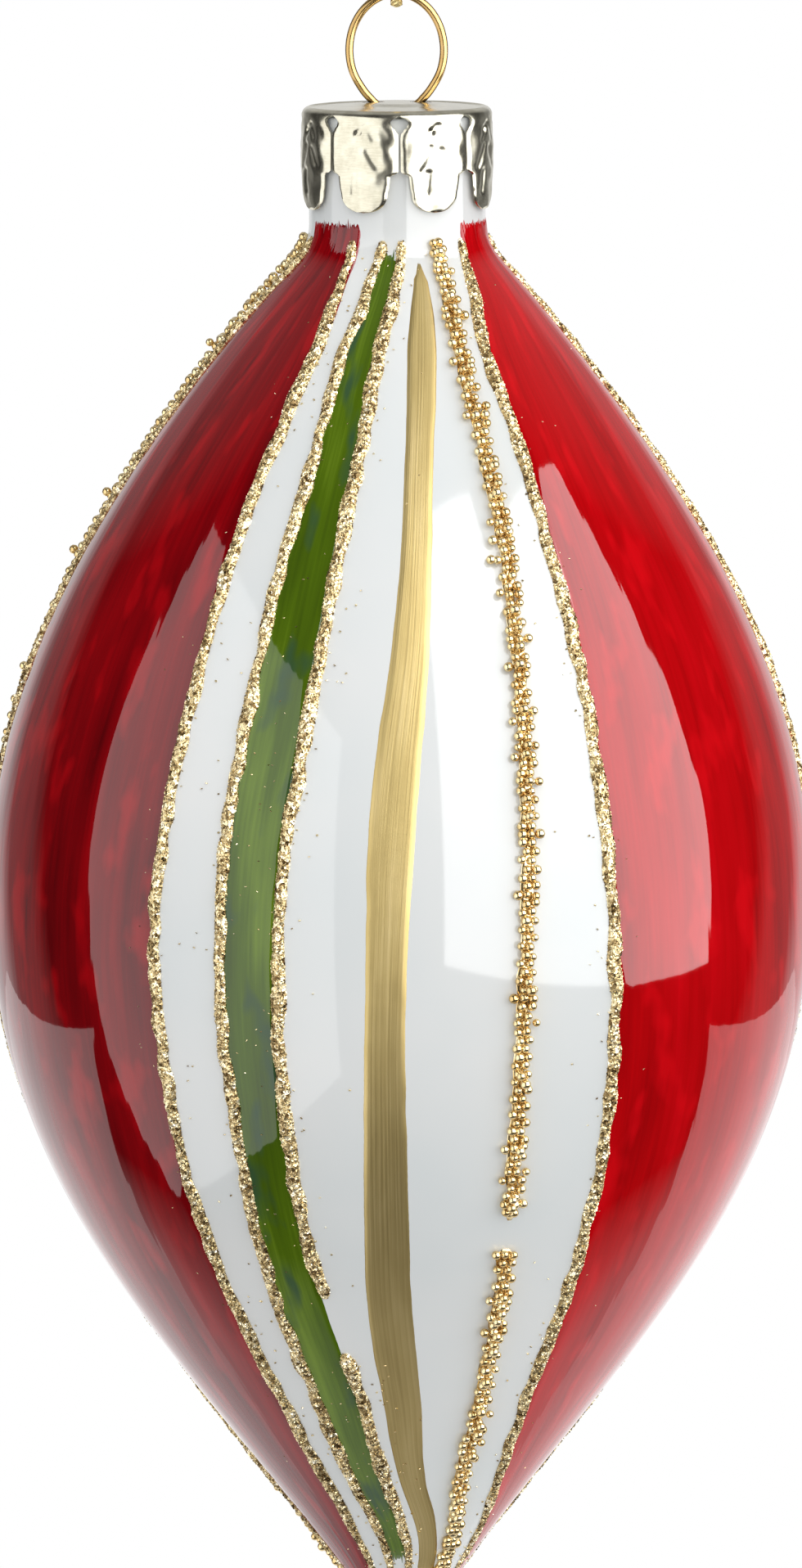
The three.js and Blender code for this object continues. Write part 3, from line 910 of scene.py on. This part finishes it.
@dataclass
class Trail:
    """A trail of grains in glue along a line: glitter, or beads."""

    name: str
    node: str
    line: Line
    third: int
    top: float
    foot: float
    seed: int
    width: float = 1.35
    height: float = 0.5
    step: float = 0.45
    uneven: float = 0.35
    sway: float = 0.28
    # How much thicker the trail is where it was begun, and over what length
    blob: float = 0.45
    blob_length: float = 1.6
    underside: float = -0.1
    # Section of the glue's ridge: shares of the width and of the height
    ridge: tuple = (
        (-0.5, -0.05), (-0.42, 0.35), (-0.22, 0.85), (0.0, 1.0), (0.22, 0.85), (0.42, 0.35), (0.5, -0.05),
    )

    def bed(self) -> Mesh:
        """The ridge of glue, of uneven width, in the flat drawing."""
        count = int((self.top - self.foot) / self.step)
        rows = []
        for i in range(count + 1):
            level = self.top + (self.foot - self.top) * i / count
            fine = taper(level) * self._end(i / count)
            swell = 1 + self.blob * math.exp(-(((self.top - level) / self.blob_length) ** 2))
            wide = self.width * fine * swell * (1 + self.uneven * waver(level * 0.5, self.seed, 0.5))
            high = self.height * fine * swell * (1 + self.uneven * waver(level * 0.6, self.seed, 4.5))
            sway = self.sway * fine * waver(level * 0.45, self.seed, 9.5)
            rows.append([
                (self.angle(level, sway + across * wide), level, lift * high if lift > 0 else lift)
                for across, lift in self.ridge
            ])
        return slab_of(rows, self.underside)

    def angle(self, level: float, aside: float) -> float:
        """The angle of a place beside the trail's line."""
        return self.line.angle(level, self.third, aside)

    def _end(self, share: float) -> float:
        """How the trail swells up from its ends."""
        near = min(share, 1 - share) * (self.top - self.foot)
        return math.sqrt(min(1.0, near + 0.15))

    def drawing(self, loose: Sequence[Point]) -> Piece:
        """The bed and the loose grains as one flat drawing, with its upper faces marked."""
        points, faces = self.bed()
        piece = mesh_object(self.name, (points + list(loose), faces))
        proud = piece.data.attributes.new("proud", "FLOAT", "FACE")
        for face, mark in zip(faces, proud.data):
            mark.value = float(max(points[k][2] for k in face) > 0.02)
        return piece


@dataclass
class GlitterTrail(Trail):
    """A trail of glitter, with specks strayed beside it."""

    strays: int = 100
    stray_reach: float = 2.0
    flake_size: float = 0.26
    flake_density: float = 23e6
    flake_tilt: float = 0.75

    def build(self) -> Piece:
        """The glue with its flakes."""
        chance = Random(self.seed)
        loose = []
        for _ in range(self.strays):
            level = chance.uniform(self.foot + 1, self.top - 1)
            aside = chance.gauss(0.0, self.stray_reach) * taper(level)
            loose.append((self.angle(level, aside), level, 0.06))
        values = OUTLINE.values(GLITTER, Seed=self.seed)
        return formed(self.drawing(loose), bpy.data.node_groups["glitter"], values)


@dataclass
class BeadTrail(Trail):
    """A trail of small beads, two or three abreast and heaped up here and there."""

    bead: float = 0.95
    width: float = 1.3
    height: float = 0.12
    # Chances of a third bead in a row, of one on top of it and of one beside it
    three_abreast: float = 0.22
    heaped: float = 0.45
    strayed: float = 0.035

    def build(self) -> Piece:
        """The glue with its beads."""
        chance = Random(self.seed)
        loose = []
        level, row = self.top - 0.3, 0
        while level > self.foot + 0.3:
            fine = taper(level)
            heap = 0.5 + waver(level * 0.35, self.seed, 2.0)
            abreast = 3 if chance.random() < self.three_abreast else 2
            slip = 0.22 if row % 2 else -0.22
            for k in range(abreast):
                aside = (k - (abreast - 1) / 2 + slip) * self.bead * 0.96 + chance.gauss(0, 0.06)
                lift = self.bead * 0.5 + chance.uniform(0.0, 0.12)
                drop = chance.gauss(0, 0.06)
                loose.append((self.angle(level, aside * fine), level + drop, lift * fine))
            if chance.random() < self.heaped * heap:
                aside = chance.uniform(-0.3, 0.3)
                lift = self.bead * (1.25 + chance.uniform(0.0, 0.12))
                loose.append((self.angle(level, aside * fine), level, lift * fine))
            if chance.random() < self.strayed:
                aside = chance.choice((-1, 1)) * chance.uniform(1.3, 1.8)
                loose.append((self.angle(level, aside), level, self.bead * 0.45))
            level -= self.bead * 0.86 * fine
            row += 1
        values = OUTLINE.values(BEADS, Seed=self.seed)
        return formed(self.drawing(loose), bpy.data.node_groups["beads"], values)


def random_value(graph: Graph, kind: str, low: float | tuple, high: float | tuple, seed: Link) -> Link:
    """A random value for each point, from low to high."""
    first, output = {"FLOAT_VECTOR": (0, 0), "FLOAT": (2, 1)}[kind]
    values = {first: low, first + 1: high, "Seed": seed}
    return graph.node("FunctionNodeRandomValue", {"data_type": kind}, values)[output]


def grain_tree(name: str, grain: Callable, size: float, density: float, tilt: float) -> None:
    """A tree that lays a bed of glue on the glass and sets grains in it.

    Args:
        name: the tree's name.
        grain: makes one grain, from the tree and the grain's size.
        size: the grain's size, in metres.
        density: grains on a square metre of the bed.
        tilt: how far a grain may lean, in radians.
    """
    graph, drawing = new_tree(name)
    across = graph.input("Grain size", "Float", size)
    thick = graph.input("Grains per square metre", "Float", density)
    seed = graph.input("Seed", "Int", 1)
    laid = OUTLINE.laid(graph, drawing)
    alone = graph.node("FunctionNodeCompare", {"data_type": "INT", "operation": "EQUAL"}, {
        2: graph.node("GeometryNodeInputMeshVertexNeighbors")[0], 3: 0,
    })[0]
    values = {"Geometry": laid, "Selection": alone}
    split = graph.node("GeometryNodeSeparateGeometry", {"domain": "POINT"}, values)
    strays, bed = graph.shape("MeshToPoints", Mesh=split[0]), split[1]
    proud = graph.node("GeometryNodeInputNamedAttribute", {"data_type": "FLOAT"}, {"Name": "proud"})[0]
    spread = graph.node("GeometryNodeDistributePointsOnFaces", values={
        "Mesh": bed, "Density": proud * thick, "Seed": seed,
    })
    one = grain(graph, across)
    parts = [bed]
    local = {"rotation_space": "LOCAL"}
    for points, turned in ((spread["Points"], spread["Rotation"]), (strays, None)):
        lean = random_value(graph, "FLOAT_VECTOR", (-tilt, -tilt, -math.pi), (tilt, tilt, math.pi), seed)
        lean = graph.node("FunctionNodeEulerToRotation", values={0: lean})[0]
        if turned:
            lean = graph.node("FunctionNodeRotateRotation", local, {0: turned, 1: lean})[0]
        scale = random_value(graph, "FLOAT", 0.84, 1.08, seed)
        parts.append(graph.shape("InstanceOnPoints", Points=points, Instance=one, Rotation=lean, Scale=scale))
    whole = graph.node("GeometryNodeJoinGeometry")
    for part in reversed(parts):
        graph.tree.links.new(part.socket, whole.node.inputs[0])
    finished(graph, whole[0], flat=tilt < 2)


def flake(graph: Graph, across: Link) -> Link:
    """A five-sided flake of foil."""
    values = {"Vertices": 5, "Radius": across * 0.5, "Depth": across * 0.22}
    return graph.node("GeometryNodeMeshCylinder", {"fill_type": "NGON"}, values)["Mesh"]


def round_bead(graph: Graph, across: Link) -> Link:
    """A bead of a few dozen faces."""
    return graph.shape("MeshUVSphere", Segments=10, Rings=6, Radius=across * 0.5)


@dataclass
class Decoration:
    """Enamel, gold paint, glitter and beads: a third of the pattern, three times round."""

    red_top: float = OUTLINE.flare + 2.6
    green_top: float = OUTLINE.flare - 0.2
    gold_top: float = OUTLINE.flare - 1.0
    green_foot: float = -152.6
    gold_foot: float = -154.1
    bead_gap: tuple[float, float] = (-115.6, -118.6)
    glitter_gap: tuple[float, float] = (-123.6, -129.6)

    def coats(self, k: int) -> list[Coat]:
        """The three brushed stripes of a third of the pattern."""
        seed = 10 * k
        return [
            Coat(
                f"red_coat_{k + 1}", f"enamel_red_{k + 1}", DEEP_RED if k == 2 else RED,
                lambda z: Line.RED_LEFT.angle(z, k, 0.1),
                lambda z: Line.RED_RIGHT.angle(z, k + 1, blend_of(((-62.0, 0.0), (-30.0, 0.75)), z)),
                self.red_top, TRAIL_FOOT, 56, seed + 1, thick=0.1,
            ),
            Coat(
                f"green_coat_{k + 1}", f"enamel_green_{k + 1}", GREEN,
                lambda z: Line.GREEN_LEFT.angle(z, k, -0.5 * taper(z)),
                lambda z: Line.GREEN_RIGHT.angle(z, k, -0.2),
                self.green_top, self.green_foot, 16, seed + 2,
            ),
            Coat(
                f"gold_stripe_{k + 1}", f"enamel_gold_{k + 1}", GOLD,
                lambda z: Line.GOLD.angle(z, k, -at_level(GOLD_WIDTHS, z) / 2),
                lambda z: Line.GOLD.angle(z, k, at_level(GOLD_WIDTHS, z) / 2),
                self.gold_top, self.gold_foot, 12, seed + 3, bristles=0.15, round_top=True,
            ),
        ]

    def trails(self, k: int) -> list[Trail]:
        """The trails of a third of the pattern; the front ones have the hand's gaps."""
        seed = 100 * k
        trails: list[Trail] = []
        for line, gap, step in (
            (Line.RED_LEFT, None, 1), (Line.RED_RIGHT, None, 1), (Line.GREEN_LEFT, None, 1),
            (Line.GREEN_RIGHT, self.glitter_gap, 7), (Line.BEADS, self.bead_gap, 7),
        ):
            kind, name, node = BeadTrail, "bead_line", "bead_trail"
            if line is not Line.BEADS:
                side = line.name.lower()
                kind, name, node = GlitterTrail, f"glitter_line_{side}", f"glitter_{side}"
            runs = [("", LINE_TOP, TRAIL_FOOT)]
            if gap and k == 0:
                runs = [("_upper", LINE_TOP, gap[0]), ("_lower", gap[1], TRAIL_FOOT)]
            for run, top, foot in runs:
                seed += step
                run = f"_{k + 1}{run}"
                trails.append(kind(name + run, node + run, line, k, top, foot, seed))
        return trails

    def dress(self) -> None:
        """Builds every stripe and trail and puts it in its place."""
        laid_tree("coat")
        size, density = GlitterTrail.flake_size * MM, GlitterTrail.flake_density
        grain_tree("glitter", flake, size, density, GlitterTrail.flake_tilt)
        grain_tree("beads", round_bead, BeadTrail.bead * MM, 0.0, math.pi)
        for k in range(3):
            for coat in self.coats(k):
                placed(coat.build(), "glass", coat.finish, [coat.node])
            for trail in self.trails(k):
                finish = BEADS if isinstance(trail, BeadTrail) else GLITTER
                placed(trail.build(), "glass", finish, [trail.node])


# The cap


@dataclass
class Crown:
    """The stamped cap: a domed top, keyholes, and eight petals with rounded tongues."""

    top: float = CAP_TOP
    radius: float = 9.3
    corner: float = 0.9
    dome: float = 0.4
    depth: float = 10.3
    sheet: float = 0.36
    join: float = 2e-6
    petals: int = 8
    first_slot: float = 1.5
    hole_spacing: float = HOLE_SPACING
    hole_radius: float = 1.12
    boss_radius: float = 3.9
    boss_height: float = 0.28
    margin: float = 0.95
    relief_start: float = 0.9
    turned_in: float = 0.1
    columns: int = 36
    top_rows: int = 16
    corner_rows: int = 6
    wall_rows: int = 96
    drill_sides: int = 32
    drill_length: float = 3.0
    # Half the gap between two petals, at depths under the top
    gap: tuple = (
        (0.92, 0.0), (1.02, 0.46), (1.22, 0.78), (1.5, 0.88), (1.85, 0.76), (2.25, 0.42), (2.65, 0.15),
        (3.0, 0.1), (6.2, 0.12), (6.4, 0.26), (6.56, 0.72), (6.72, 0.95), (7.2, 1.0), (7.8, 1.07),
        (8.5, 1.22),
    )
    # Dents of the stamp on each petal: ends, width and depth
    dents: tuple = (
        ((0.2, 1.75), (-0.5, 2.5), 0.36, 0.15), ((-0.5, 2.5), (-1.17, 3.44), 0.36, 0.15),
        ((0.48, 1.93), (1.17, 3.16), 0.44, 0.11), ((-0.62, 3.99), (-1.86, 6.05), 0.38, 0.17),
        ((0.55, 4.3), (1.5, 5.8), 0.46, 0.13), ((-0.83, 6.46), (-1.03, 8.4), 0.38, 0.15),
    )

    def rows(self) -> list[tuple[float, float]]:
        """Section of the sheet's outer face as (radius, depth), from the middle out and down."""
        flat = self.radius - self.corner
        steps = [flat * i / self.top_rows for i in range(self.top_rows + 1)]
        rows = [(radius, self._top_depth(radius)) for radius in steps]
        for i in range(1, self.corner_rows + 1):
            turn = math.radians(90 / self.corner_rows * i)
            rows.append((flat + self.corner * math.sin(turn), self.dome + self.corner * (1 - math.cos(turn))))
        wall = self.depth - self.start
        return rows + [(0.0, self.start + wall * i / self.wall_rows) for i in range(1, self.wall_rows + 1)]

    @property
    def start(self) -> float:
        """The depth at which the corner turns into the wall."""
        return self.dome + self.corner

    def _top_depth(self, radius: float) -> float:
        """How deep the top's face lies under the middle of the dome."""
        fall = self.dome * (radius / (self.radius - self.corner)) ** 2
        edge = ((self.boss_radius - 0.7, 0.0), (self.boss_radius + 0.7, 1.0))
        boss = self.boss_height * (1 - blend_of(edge, radius))
        return fall + self.boss_height * 0.6 - boss * 0.6

    def half_gap(self, depth: float) -> float:
        """Half the opening between two petals at a depth."""
        if depth <= self.gap[-1][0]:
            return blend_of(self.gap, depth)
        foot, start = self.depth, self.gap[-1][0]
        share = min(1.0, (depth - start) / (foot - start))
        pitch = self.radius * math.sin(math.pi / self.petals)
        half = pitch - self.gap[-1][1]
        return pitch - half * math.sqrt(max(0.0, 1 - share**2.2))

    def wall_radius(self, depth: float) -> float:
        """The petals' outer radius at a depth: full in the middle, drawn in at the foot."""
        share = max(0.0, (depth - self.start) / (self.depth - self.start))
        return self.radius + 0.16 * math.sin(math.pi * share) ** 0.8 - 0.16 * share**3

    def relief(self, across: float, depth: float, to_edge: float) -> float:
        """How far the petal's face stands out at a place on it."""
        narrow = blend_of(((-0.8, 0.4), (0.8, 1.0)), across)
        margin = self.margin * narrow * blend_of(((6.0, 1.0), (7.0, 0.4)), depth)
        bend = max(0.0, 1 - to_edge / margin)
        lift = -0.1 * bend**2 + 0.01 * math.exp(-(((to_edge - margin) / 0.3) ** 2))
        place = Vector((across, depth))
        for start, end, width, deep in self.dents:
            a, b = Vector(start), Vector(end)
            share = held((place - a).dot(b - a) / (b - a).length_squared)
            away = (place - a.lerp(b, share)).length
            lift -= deep * math.exp(-((away / width) ** 2))
        return lift + 0.09 * waver(across * 0.7, depth * 0.7, 3.0)

    def petal(self) -> Piece:
        """One eighth of the outer face, with its share of the top, in metres."""
        half_turn = math.pi / self.petals
        grid = []
        for radius, depth in self.rows():
            wall = radius == 0.0 and depth > self.start
            reach = self.wall_radius(depth) if wall else radius
            half = max(half_turn - self.half_gap(depth) / max(reach, 1.0), 0.002)
            foot = math.exp(-((self.depth - depth) / 0.5)) if wall else 0.0
            near = blend_of(((0.95, 0.0), (2.2, 1.0)), depth)
            flat = self.turned_in * near * blend_of(((1.2, 0.0), (3.0, 1.0)), depth)
            row = []
            for c in range(self.columns + 1):
                share = 2 * c / self.columns - 1
                angle = half * share
                out = reach
                if depth > self.relief_start and reach > self.radius - 0.3:
                    edge = min((1 - abs(share)) * half * reach, self.depth - depth + 0.25 * share**2)
                    out += near * self.relief(angle * reach, depth, edge) - 0.02 * foot
                    out -= flat * (angle / half_turn) ** 2
                row.append((out * math.sin(angle) * MM, -out * math.cos(angle) * MM, (self.top - depth) * MM))
            grid.append(row)
        return mesh_object("crown_cap", sheet_of(grid))

    def tree(self) -> bpy.types.NodeTree:
        """Sets petals round the axis and joins them where they meet."""
        graph, petal = new_tree("crown")
        count = graph.input("Petals", "Int", self.petals)
        start = graph.input("First petal", "Float", 0.0)
        spots = graph.shape("Points", Count=count)
        index = graph.node("GeometryNodeInputIndex")[0]
        turn = graph.vector(0.0, 0.0, start + index * (2 * math.pi) / count)
        turn = graph.node("FunctionNodeEulerToRotation", values={0: turn})[0]
        ring = graph.shape("InstanceOnPoints", Points=spots, Instance=petal, Rotation=turn)
        ring = graph.shape("RealizeInstances", Geometry=ring)
        return finished(graph, graph.shape("MergeByDistance", Geometry=ring, Distance=self.join))

    def build(self) -> Piece:
        """The whole cap, with its sheet's thickness and the wire's two holes."""
        first = math.radians(self.first_slot) + math.pi / self.petals
        values = {"Petals": self.petals, "First petal": first, "Finish": SHEET.material()}
        cap = faced_out(formed(self.petal(), self.tree(), values), self.join)
        if cap.data.polygons[0].normal.z < 0:
            cap.data.flip_normals()
        thick = cap.modifiers.new("sheet", "SOLIDIFY")
        thick.thickness = self.sheet * MM
        thick.offset = -1.0
        thick.use_even_offset = True
        thick.use_quality_normals = True
        drills = []
        for side in (-1, 1):
            tool = mesh_object("drill", ([], []))
            cut = bmesh.new()
            place = Matrix.Translation((side * self.hole_spacing / 2 * MM, 0, self.top * MM))
            bmesh.ops.create_cone(
                cut, cap_ends=True, segments=self.drill_sides, radius1=self.hole_radius * MM,
                radius2=self.hole_radius * MM, depth=self.drill_length * MM, matrix=place,
            )
            cut.to_mesh(tool.data)
            cut.free()
            drills.append(tool)
            hole = cap.modifiers.new("hole", "BOOLEAN")
            hole.operation = "DIFFERENCE"
            hole.solver = "EXACT"
            hole.object = tool
        settled(cap)
        for tool in drills:
            bpy.data.objects.remove(tool)
        return smooth(cap, 38.0)

    def dress(self) -> None:
        """Builds the cap and puts it in its place."""
        placed(self.build(), "cap", SHEET, ["cap_crown"])


# The wire and the thread


def strand_tree() -> bpy.types.NodeTree:
    """Winds plies along a path: one ply is a plain round wire."""
    graph, drawing = new_tree("strand")
    diameter = graph.input("Diameter", "Float", 1 * MM)
    lay = graph.input("Length of lay", "Float", 3 * MM)
    groove = graph.input("Groove", "Float", 0.0)
    plies = graph.input("Plies", "Float", 3.0)
    line = graph.shape("MeshToCurve", Mesh=drawing)
    length = graph.node("GeometryNodeSplineParameter")["Length"]
    line = graph.shape("SetCurveTilt", Curve=line, Tilt=length * (2 * math.pi) / lay)
    ring = graph.shape("CurvePrimitiveCircle", Resolution=24, Radius=1.0)
    x, y, _ = graph.node("GeometryNodeInputPosition")[0].parts()
    turn = work("ARCTAN2", y, x)
    reach = diameter * 0.5 * (1.0 - groove * (0.5 - 0.5 * work("COSINE", turn * plies)) ** 2.0)
    ring = graph.shape("SetPosition", Geometry=ring, Position=graph.vector(x * reach, y * reach, 0.0))
    values = {"Curve": line, "Profile Curve": ring, "Fill Caps": True}
    return finished(graph, graph.shape("CurveToMesh", **values))


def wound(
    name: str, paths: Sequence[Sequence[Point]], finish: Finish, diameter: float,
    lay: float = 1000.0, groove: float = 0.0, plies: float = 1.0,
) -> Piece:
    """Winds a strand along paths: one ply without a groove is a plain wire.

    Args:
        name: the piece's name.
        paths: the centrelines, in millimetres.
        finish: the strand's finish.
        diameter: how thick it is.
        lay: the length over which a ply goes once round.
        groove: how deep the plies part, as a share of the radius.
        plies: how many plies there are.

    Returns:
        The piece.
    """
    values = {"Diameter": diameter * MM, "Length of lay": lay * MM, "Groove": groove, "Plies": plies}
    values["Finish"] = finish.material()
    return formed(path_object(name, paths), bpy.data.node_groups["strand"], values)


def smooth_path(points: Sequence[Point], step: float) -> list[Point]:
    """A smooth path through points, in steps of about the given length."""
    path = []
    for i, (a, b) in enumerate(zip(points, points[1:])):
        count = max(1, round(math.dist(a, b) / step))
        path += [curve_through(points, (i + k / count) / (len(points) - 1)) for k in range(count)]
    return [*path, tuple(points[-1])]


@dataclass
class HangerWire:
    """One bent wire: the ring above the cap and two sprung legs in the neck."""

    diameter: float = 0.8
    ring_half_width: float = 4.6
    ring_half_height: float = 5.5
    ring_centre: float = -5.1
    ring_open: float = 45.0
    cap_top: float = CAP_TOP
    neck_top: float = NECK_TOP
    hole_spacing: float = HOLE_SPACING
    waist: float = 1.6
    waist_drop: float = 1.0
    bearing: float = 6.95
    bearing_depth: float = 9.0
    leg_length: float = 20.5
    tip_inset: float = 0.7

    def leg(self, side: int) -> list[Point]:
        """The wire's line on one side, from the hole in the cap down to its tip."""
        spread = self.bearing - self.waist
        low, tip = self.neck_top - self.bearing_depth, self.cap_top - self.leg_length
        line = [
            (self.hole_spacing / 2, self.cap_top),
            (self.waist, self.cap_top - self.waist_drop),
            (self.waist + spread * 0.35, self.neck_top - self.bearing_depth * 0.25),
            (self.waist + spread * 0.8, self.neck_top - self.bearing_depth * 0.6),
            (self.bearing, low),
            (self.bearing - self.tip_inset / 3, (low + tip) / 2),
            (self.bearing - self.tip_inset, tip),
        ]
        return [(side * x, 0.0, z) for x, z in line]

    def build(self) -> Piece:
        """The wire."""
        arc = []
        for i in range(13):
            turn = math.radians(180 + self.ring_open - (180 + 2 * self.ring_open) * i / 12)
            level = self.ring_centre + self.ring_half_height * math.sin(turn)
            arc.append((self.ring_half_width * math.cos(turn), 0.0, level))
        path = smooth_path([*reversed(self.leg(-1)), *arc, *self.leg(1)], 0.35)
        return wound("ring_and_legs", [path], BRASS, self.diameter)

    def dress(self) -> None:
        """Builds the wire and puts it in its place."""
        placed(self.build(), "hanger", BRASS, ["hanger_wire"])


@dataclass
class ThreadLoop:
    """The metallic thread: a taut loop through the ring, and the knot that closes it."""

    width: float = 1.2
    thickness: float = 0.6
    lay: float = 2.4
    knot_foot: float = 42.3
    knot_height: float = 3.6
    knot_turns: float = 2.35
    tail_length: float = 4.5
    tail_lean: float = 18.0
    # The route on its front side, as (out from the ring, up)
    route: tuple = (
        (0.36, 42.0), (0.42, 38.0), (0.52, 32.0), (0.66, 25.0), (0.82, 18.0), (0.98, 12.0),
        (1.12, 6.5), (1.22, 3.0), (1.22, 1.5), (1.1, 0.55), (0.76, -0.22),
    )
    bight: float = -0.66

    def path(self) -> list[Point]:
        """The centreline, from the knot down under the ring and back up."""
        front = [(0.0, -y, z) for y, z in self.route]
        back = [(0.0, y, z) for y, z in reversed(self.route)]
        return smooth_path([*front, (0.0, 0.0, self.bight), *back], 0.25)

    def strand(self, name: str, paths: Sequence[Sequence[Point]]) -> Piece:
        """Thread along paths, wider than it is thick."""
        strand = wound(name, paths, THREAD, self.thickness, self.lay, groove=0.4, plies=4.0)
        strand.data.transform(Matrix.Diagonal((self.width / self.thickness, 1, 1, 1)))
        return strand

    def knot(self) -> Piece:
        """Turns of the thread round its two ends, and the cut tails above them."""
        coil = []
        for i in range(91):
            share = i / 90
            angle = 2 * math.pi * self.knot_turns * share + math.pi / 2
            reach = 0.86 * min(1.0, 0.25 + 6 * min(share, 1 - share))
            level = self.knot_foot + 0.5 + (self.knot_height - 0.95) * share
            coil.append((reach * math.cos(angle), reach * math.sin(angle), level))
        middle = self.knot_foot + self.knot_height / 2
        steps = [self.tail_length * i / 18 for i in range(19)]
        tails = []
        for lean in (-math.radians(self.tail_lean), math.radians(self.tail_lean)):
            tails.append([
                (0.12 * math.sin(s * 0.9), s * math.sin(lean), middle + s * math.cos(lean) - 0.15)
                for s in steps
            ])
        return self.strand("thread_tie", [coil, *tails])

    def dress(self) -> None:
        path = self.path()
        loop = placed(self.strand("gold_thread", [path]), "thread", THREAD, ["thread_loop"])
        knot = placed(self.knot(), "thread", THREAD, ["thread_knot"])
        length = sum(math.dist(a, b) for a, b in zip(path, path[1:]))
        log.info("thread: %.1f mm long", length)
        [c * MM for c in path[0]]
        [[c * MM for c in p] for p in path[::2]]


# The studio


def seen_in_glass(rays: Made) -> Link:
    """1 for rays that a gloss or a glass has turned, 0 for the others."""
    return work("MAXIMUM", rays["Is Glossy Ray"], rays["Is Transmission Ray"])


@dataclass
class Panel:
    """A soft box that shows in reflections only: the surroundings give the soft light."""

    name: str
    facing: float
    distance: float
    aside: float
    height: float
    size: tuple[float, float]
    shine: float

    def build(self, middle: Vector) -> None:
        """Sets the soft box up, facing the middle of the object."""
        turn = math.radians(self.facing)
        out = Vector((math.sin(turn), -math.cos(turn), 0))
        along = Vector((math.cos(turn), math.sin(turn), 0))
        place = middle + out * self.distance + along * self.aside + Vector((0, 0, self.height))
        area = self.size[0] * self.size[1]
        lamp = bpy.data.lights.new(self.name, "AREA")
        lamp.shape = "RECTANGLE"
        lamp.size, lamp.size_y = self.size
        lamp.energy = self.shine * 4 * area
        made = new_object(lamp.name, lamp)
        made.location = place
        made.rotation_euler = out.to_track_quat("Z", "Y").to_euler()
        made.visible_camera = False
        made.visible_diffuse = False


@dataclass
class Studio:
    """Camera, soft boxes, floor and surroundings."""

    distance: float = 1.5
    elevation: float = 6.2
    target: tuple[float, float, float] = (0.00015, 0.0, -0.0769)
    pixels_per_mm: float = 12.5
    photo_height: int = 1916
    sensor: float = 36.0
    roll: float = -0.22
    floor_level: float = -0.75
    floor_shine: float = 0.42
    ambient: float = 0.74
    glow: float = 0.75
    lit: tuple[float, float, float] = (0.0, 0.0, -0.08)
    panels: list[Panel] = field(default_factory=lambda: [
        Panel("right box", 55.0, 0.7, -0.03, 0.37, (1.24, 1.1), 3.7),
        Panel("upper box", 26.0, 0.75, 0.0, 1.0, (0.5, 0.5), 3.6),
        Panel("left box", -72.0, 0.6, 0.288, -0.025, (1.076, 1.16), 1.35),
    ])

    def camera(self) -> None:
        """The camera, at the photograph's angle and scale."""
        data = bpy.data.cameras.new("camera")
        made = bpy.context.scene.camera = new_object("camera", data)
        rise = math.radians(self.elevation)
        back = Vector((0, -math.cos(rise), math.sin(rise)))
        made.location = Vector(self.target) + back * self.distance
        made.rotation_mode = "QUATERNION"
        facing = (-back).to_track_quat("-Z", "Y")
        made.rotation_quaternion = facing @ Matrix.Rotation(math.radians(self.roll), 3, "Z").to_quaternion()
        data.sensor_width = self.sensor
        data.lens = self.sensor * self.pixels_per_mm * 1000 * self.distance / self.photo_height
        data.clip_start, data.clip_end = 0.05, 30.0

    def floor(self) -> None:
        """A plain pale floor behind the object, which shows white and keeps the shadow."""
        floor = mesh_object("floor", ([(-2, 0.4, 0), (2, 0.4, 0), (2, 3.4, 0), (-2, 3.4, 0)], [(0, 1, 2, 3)]))
        floor.data.transform(Matrix.Translation((0, 0, self.floor_level)))
        made = bpy.data.materials.new("floor")
        made.use_nodes = True
        graph = Graph(made.node_tree)
        rays = graph.node("ShaderNodeLightPath")
        seen = work("MAXIMUM", rays["Is Camera Ray"], seen_in_glass(rays))
        graph.feed_own("BSDF_PRINCIPLED", {
            "Base Color": (0.8, 0.8, 0.8, 1), "Roughness": 0.9,
            "Emission Color": (1, 1, 1, 1), "Emission Strength": seen * self.floor_shine,
        })
        floor.data.materials.append(made)

    def world(self) -> None:
        """White to the camera; soft light with a glow from the front right; bright behind in mirrors."""
        world = bpy.data.worlds.new("studio")
        bpy.context.scene.world = world
        world.use_nodes = True
        graph = Graph(world.node_tree)
        rays = graph.node("ShaderNodeLightPath")
        mirrored = seen_in_glass(rays)
        right, back, up = graph.node("ShaderNodeTexCoord")["Generated"].parts()
        place = back - 0.35 * up
        mirror = 0.02 + 0.2 * graph.clip(place, 0.5, 0.62) + 0.6 * graph.clip(place, 0.82, 0.92)
        mirror = mirror + 0.45 * graph.clip(0.5 * back + 0.8 * up, 0.58, 0.78)
        mirror = mirror + 0.75 * graph.clip(0.5 * back - 0.8 * up, 0.58, 0.78)
        glow = graph.clip(0.74 * right - 0.52 * back + 0.42 * up, 0.55, 0.95)
        ambient = self.ambient * (1.0 + 0.35 * up) + self.glow * glow
        camera = rays["Is Camera Ray"]
        strength = camera + (1.0 - camera) * (mirrored * mirror + (1.0 - mirrored) * ambient)
        graph.feed_own("BACKGROUND", {"Color": (1, 1, 1, 1), "Strength": strength})

    def build(self) -> None:
        """Sets the studio up."""
        bpy.context.scene.view_settings.view_transform = "Standard"
        self.camera()
        self.floor()
        self.world()
        for panel in self.panels:
            panel.build(Vector(self.lit))


def main() -> None:
    """Builds the studio and the bauble."""
    logging.basicConfig(level=logging.INFO, format="%(message)s")
    Studio().build()
    strand_tree()
    ThreadLoop().dress()
    HangerWire().dress()
    Crown().dress()
    BlownGlass().dress()
    Decoration().dress()


if __name__ == "__main__":
    main()
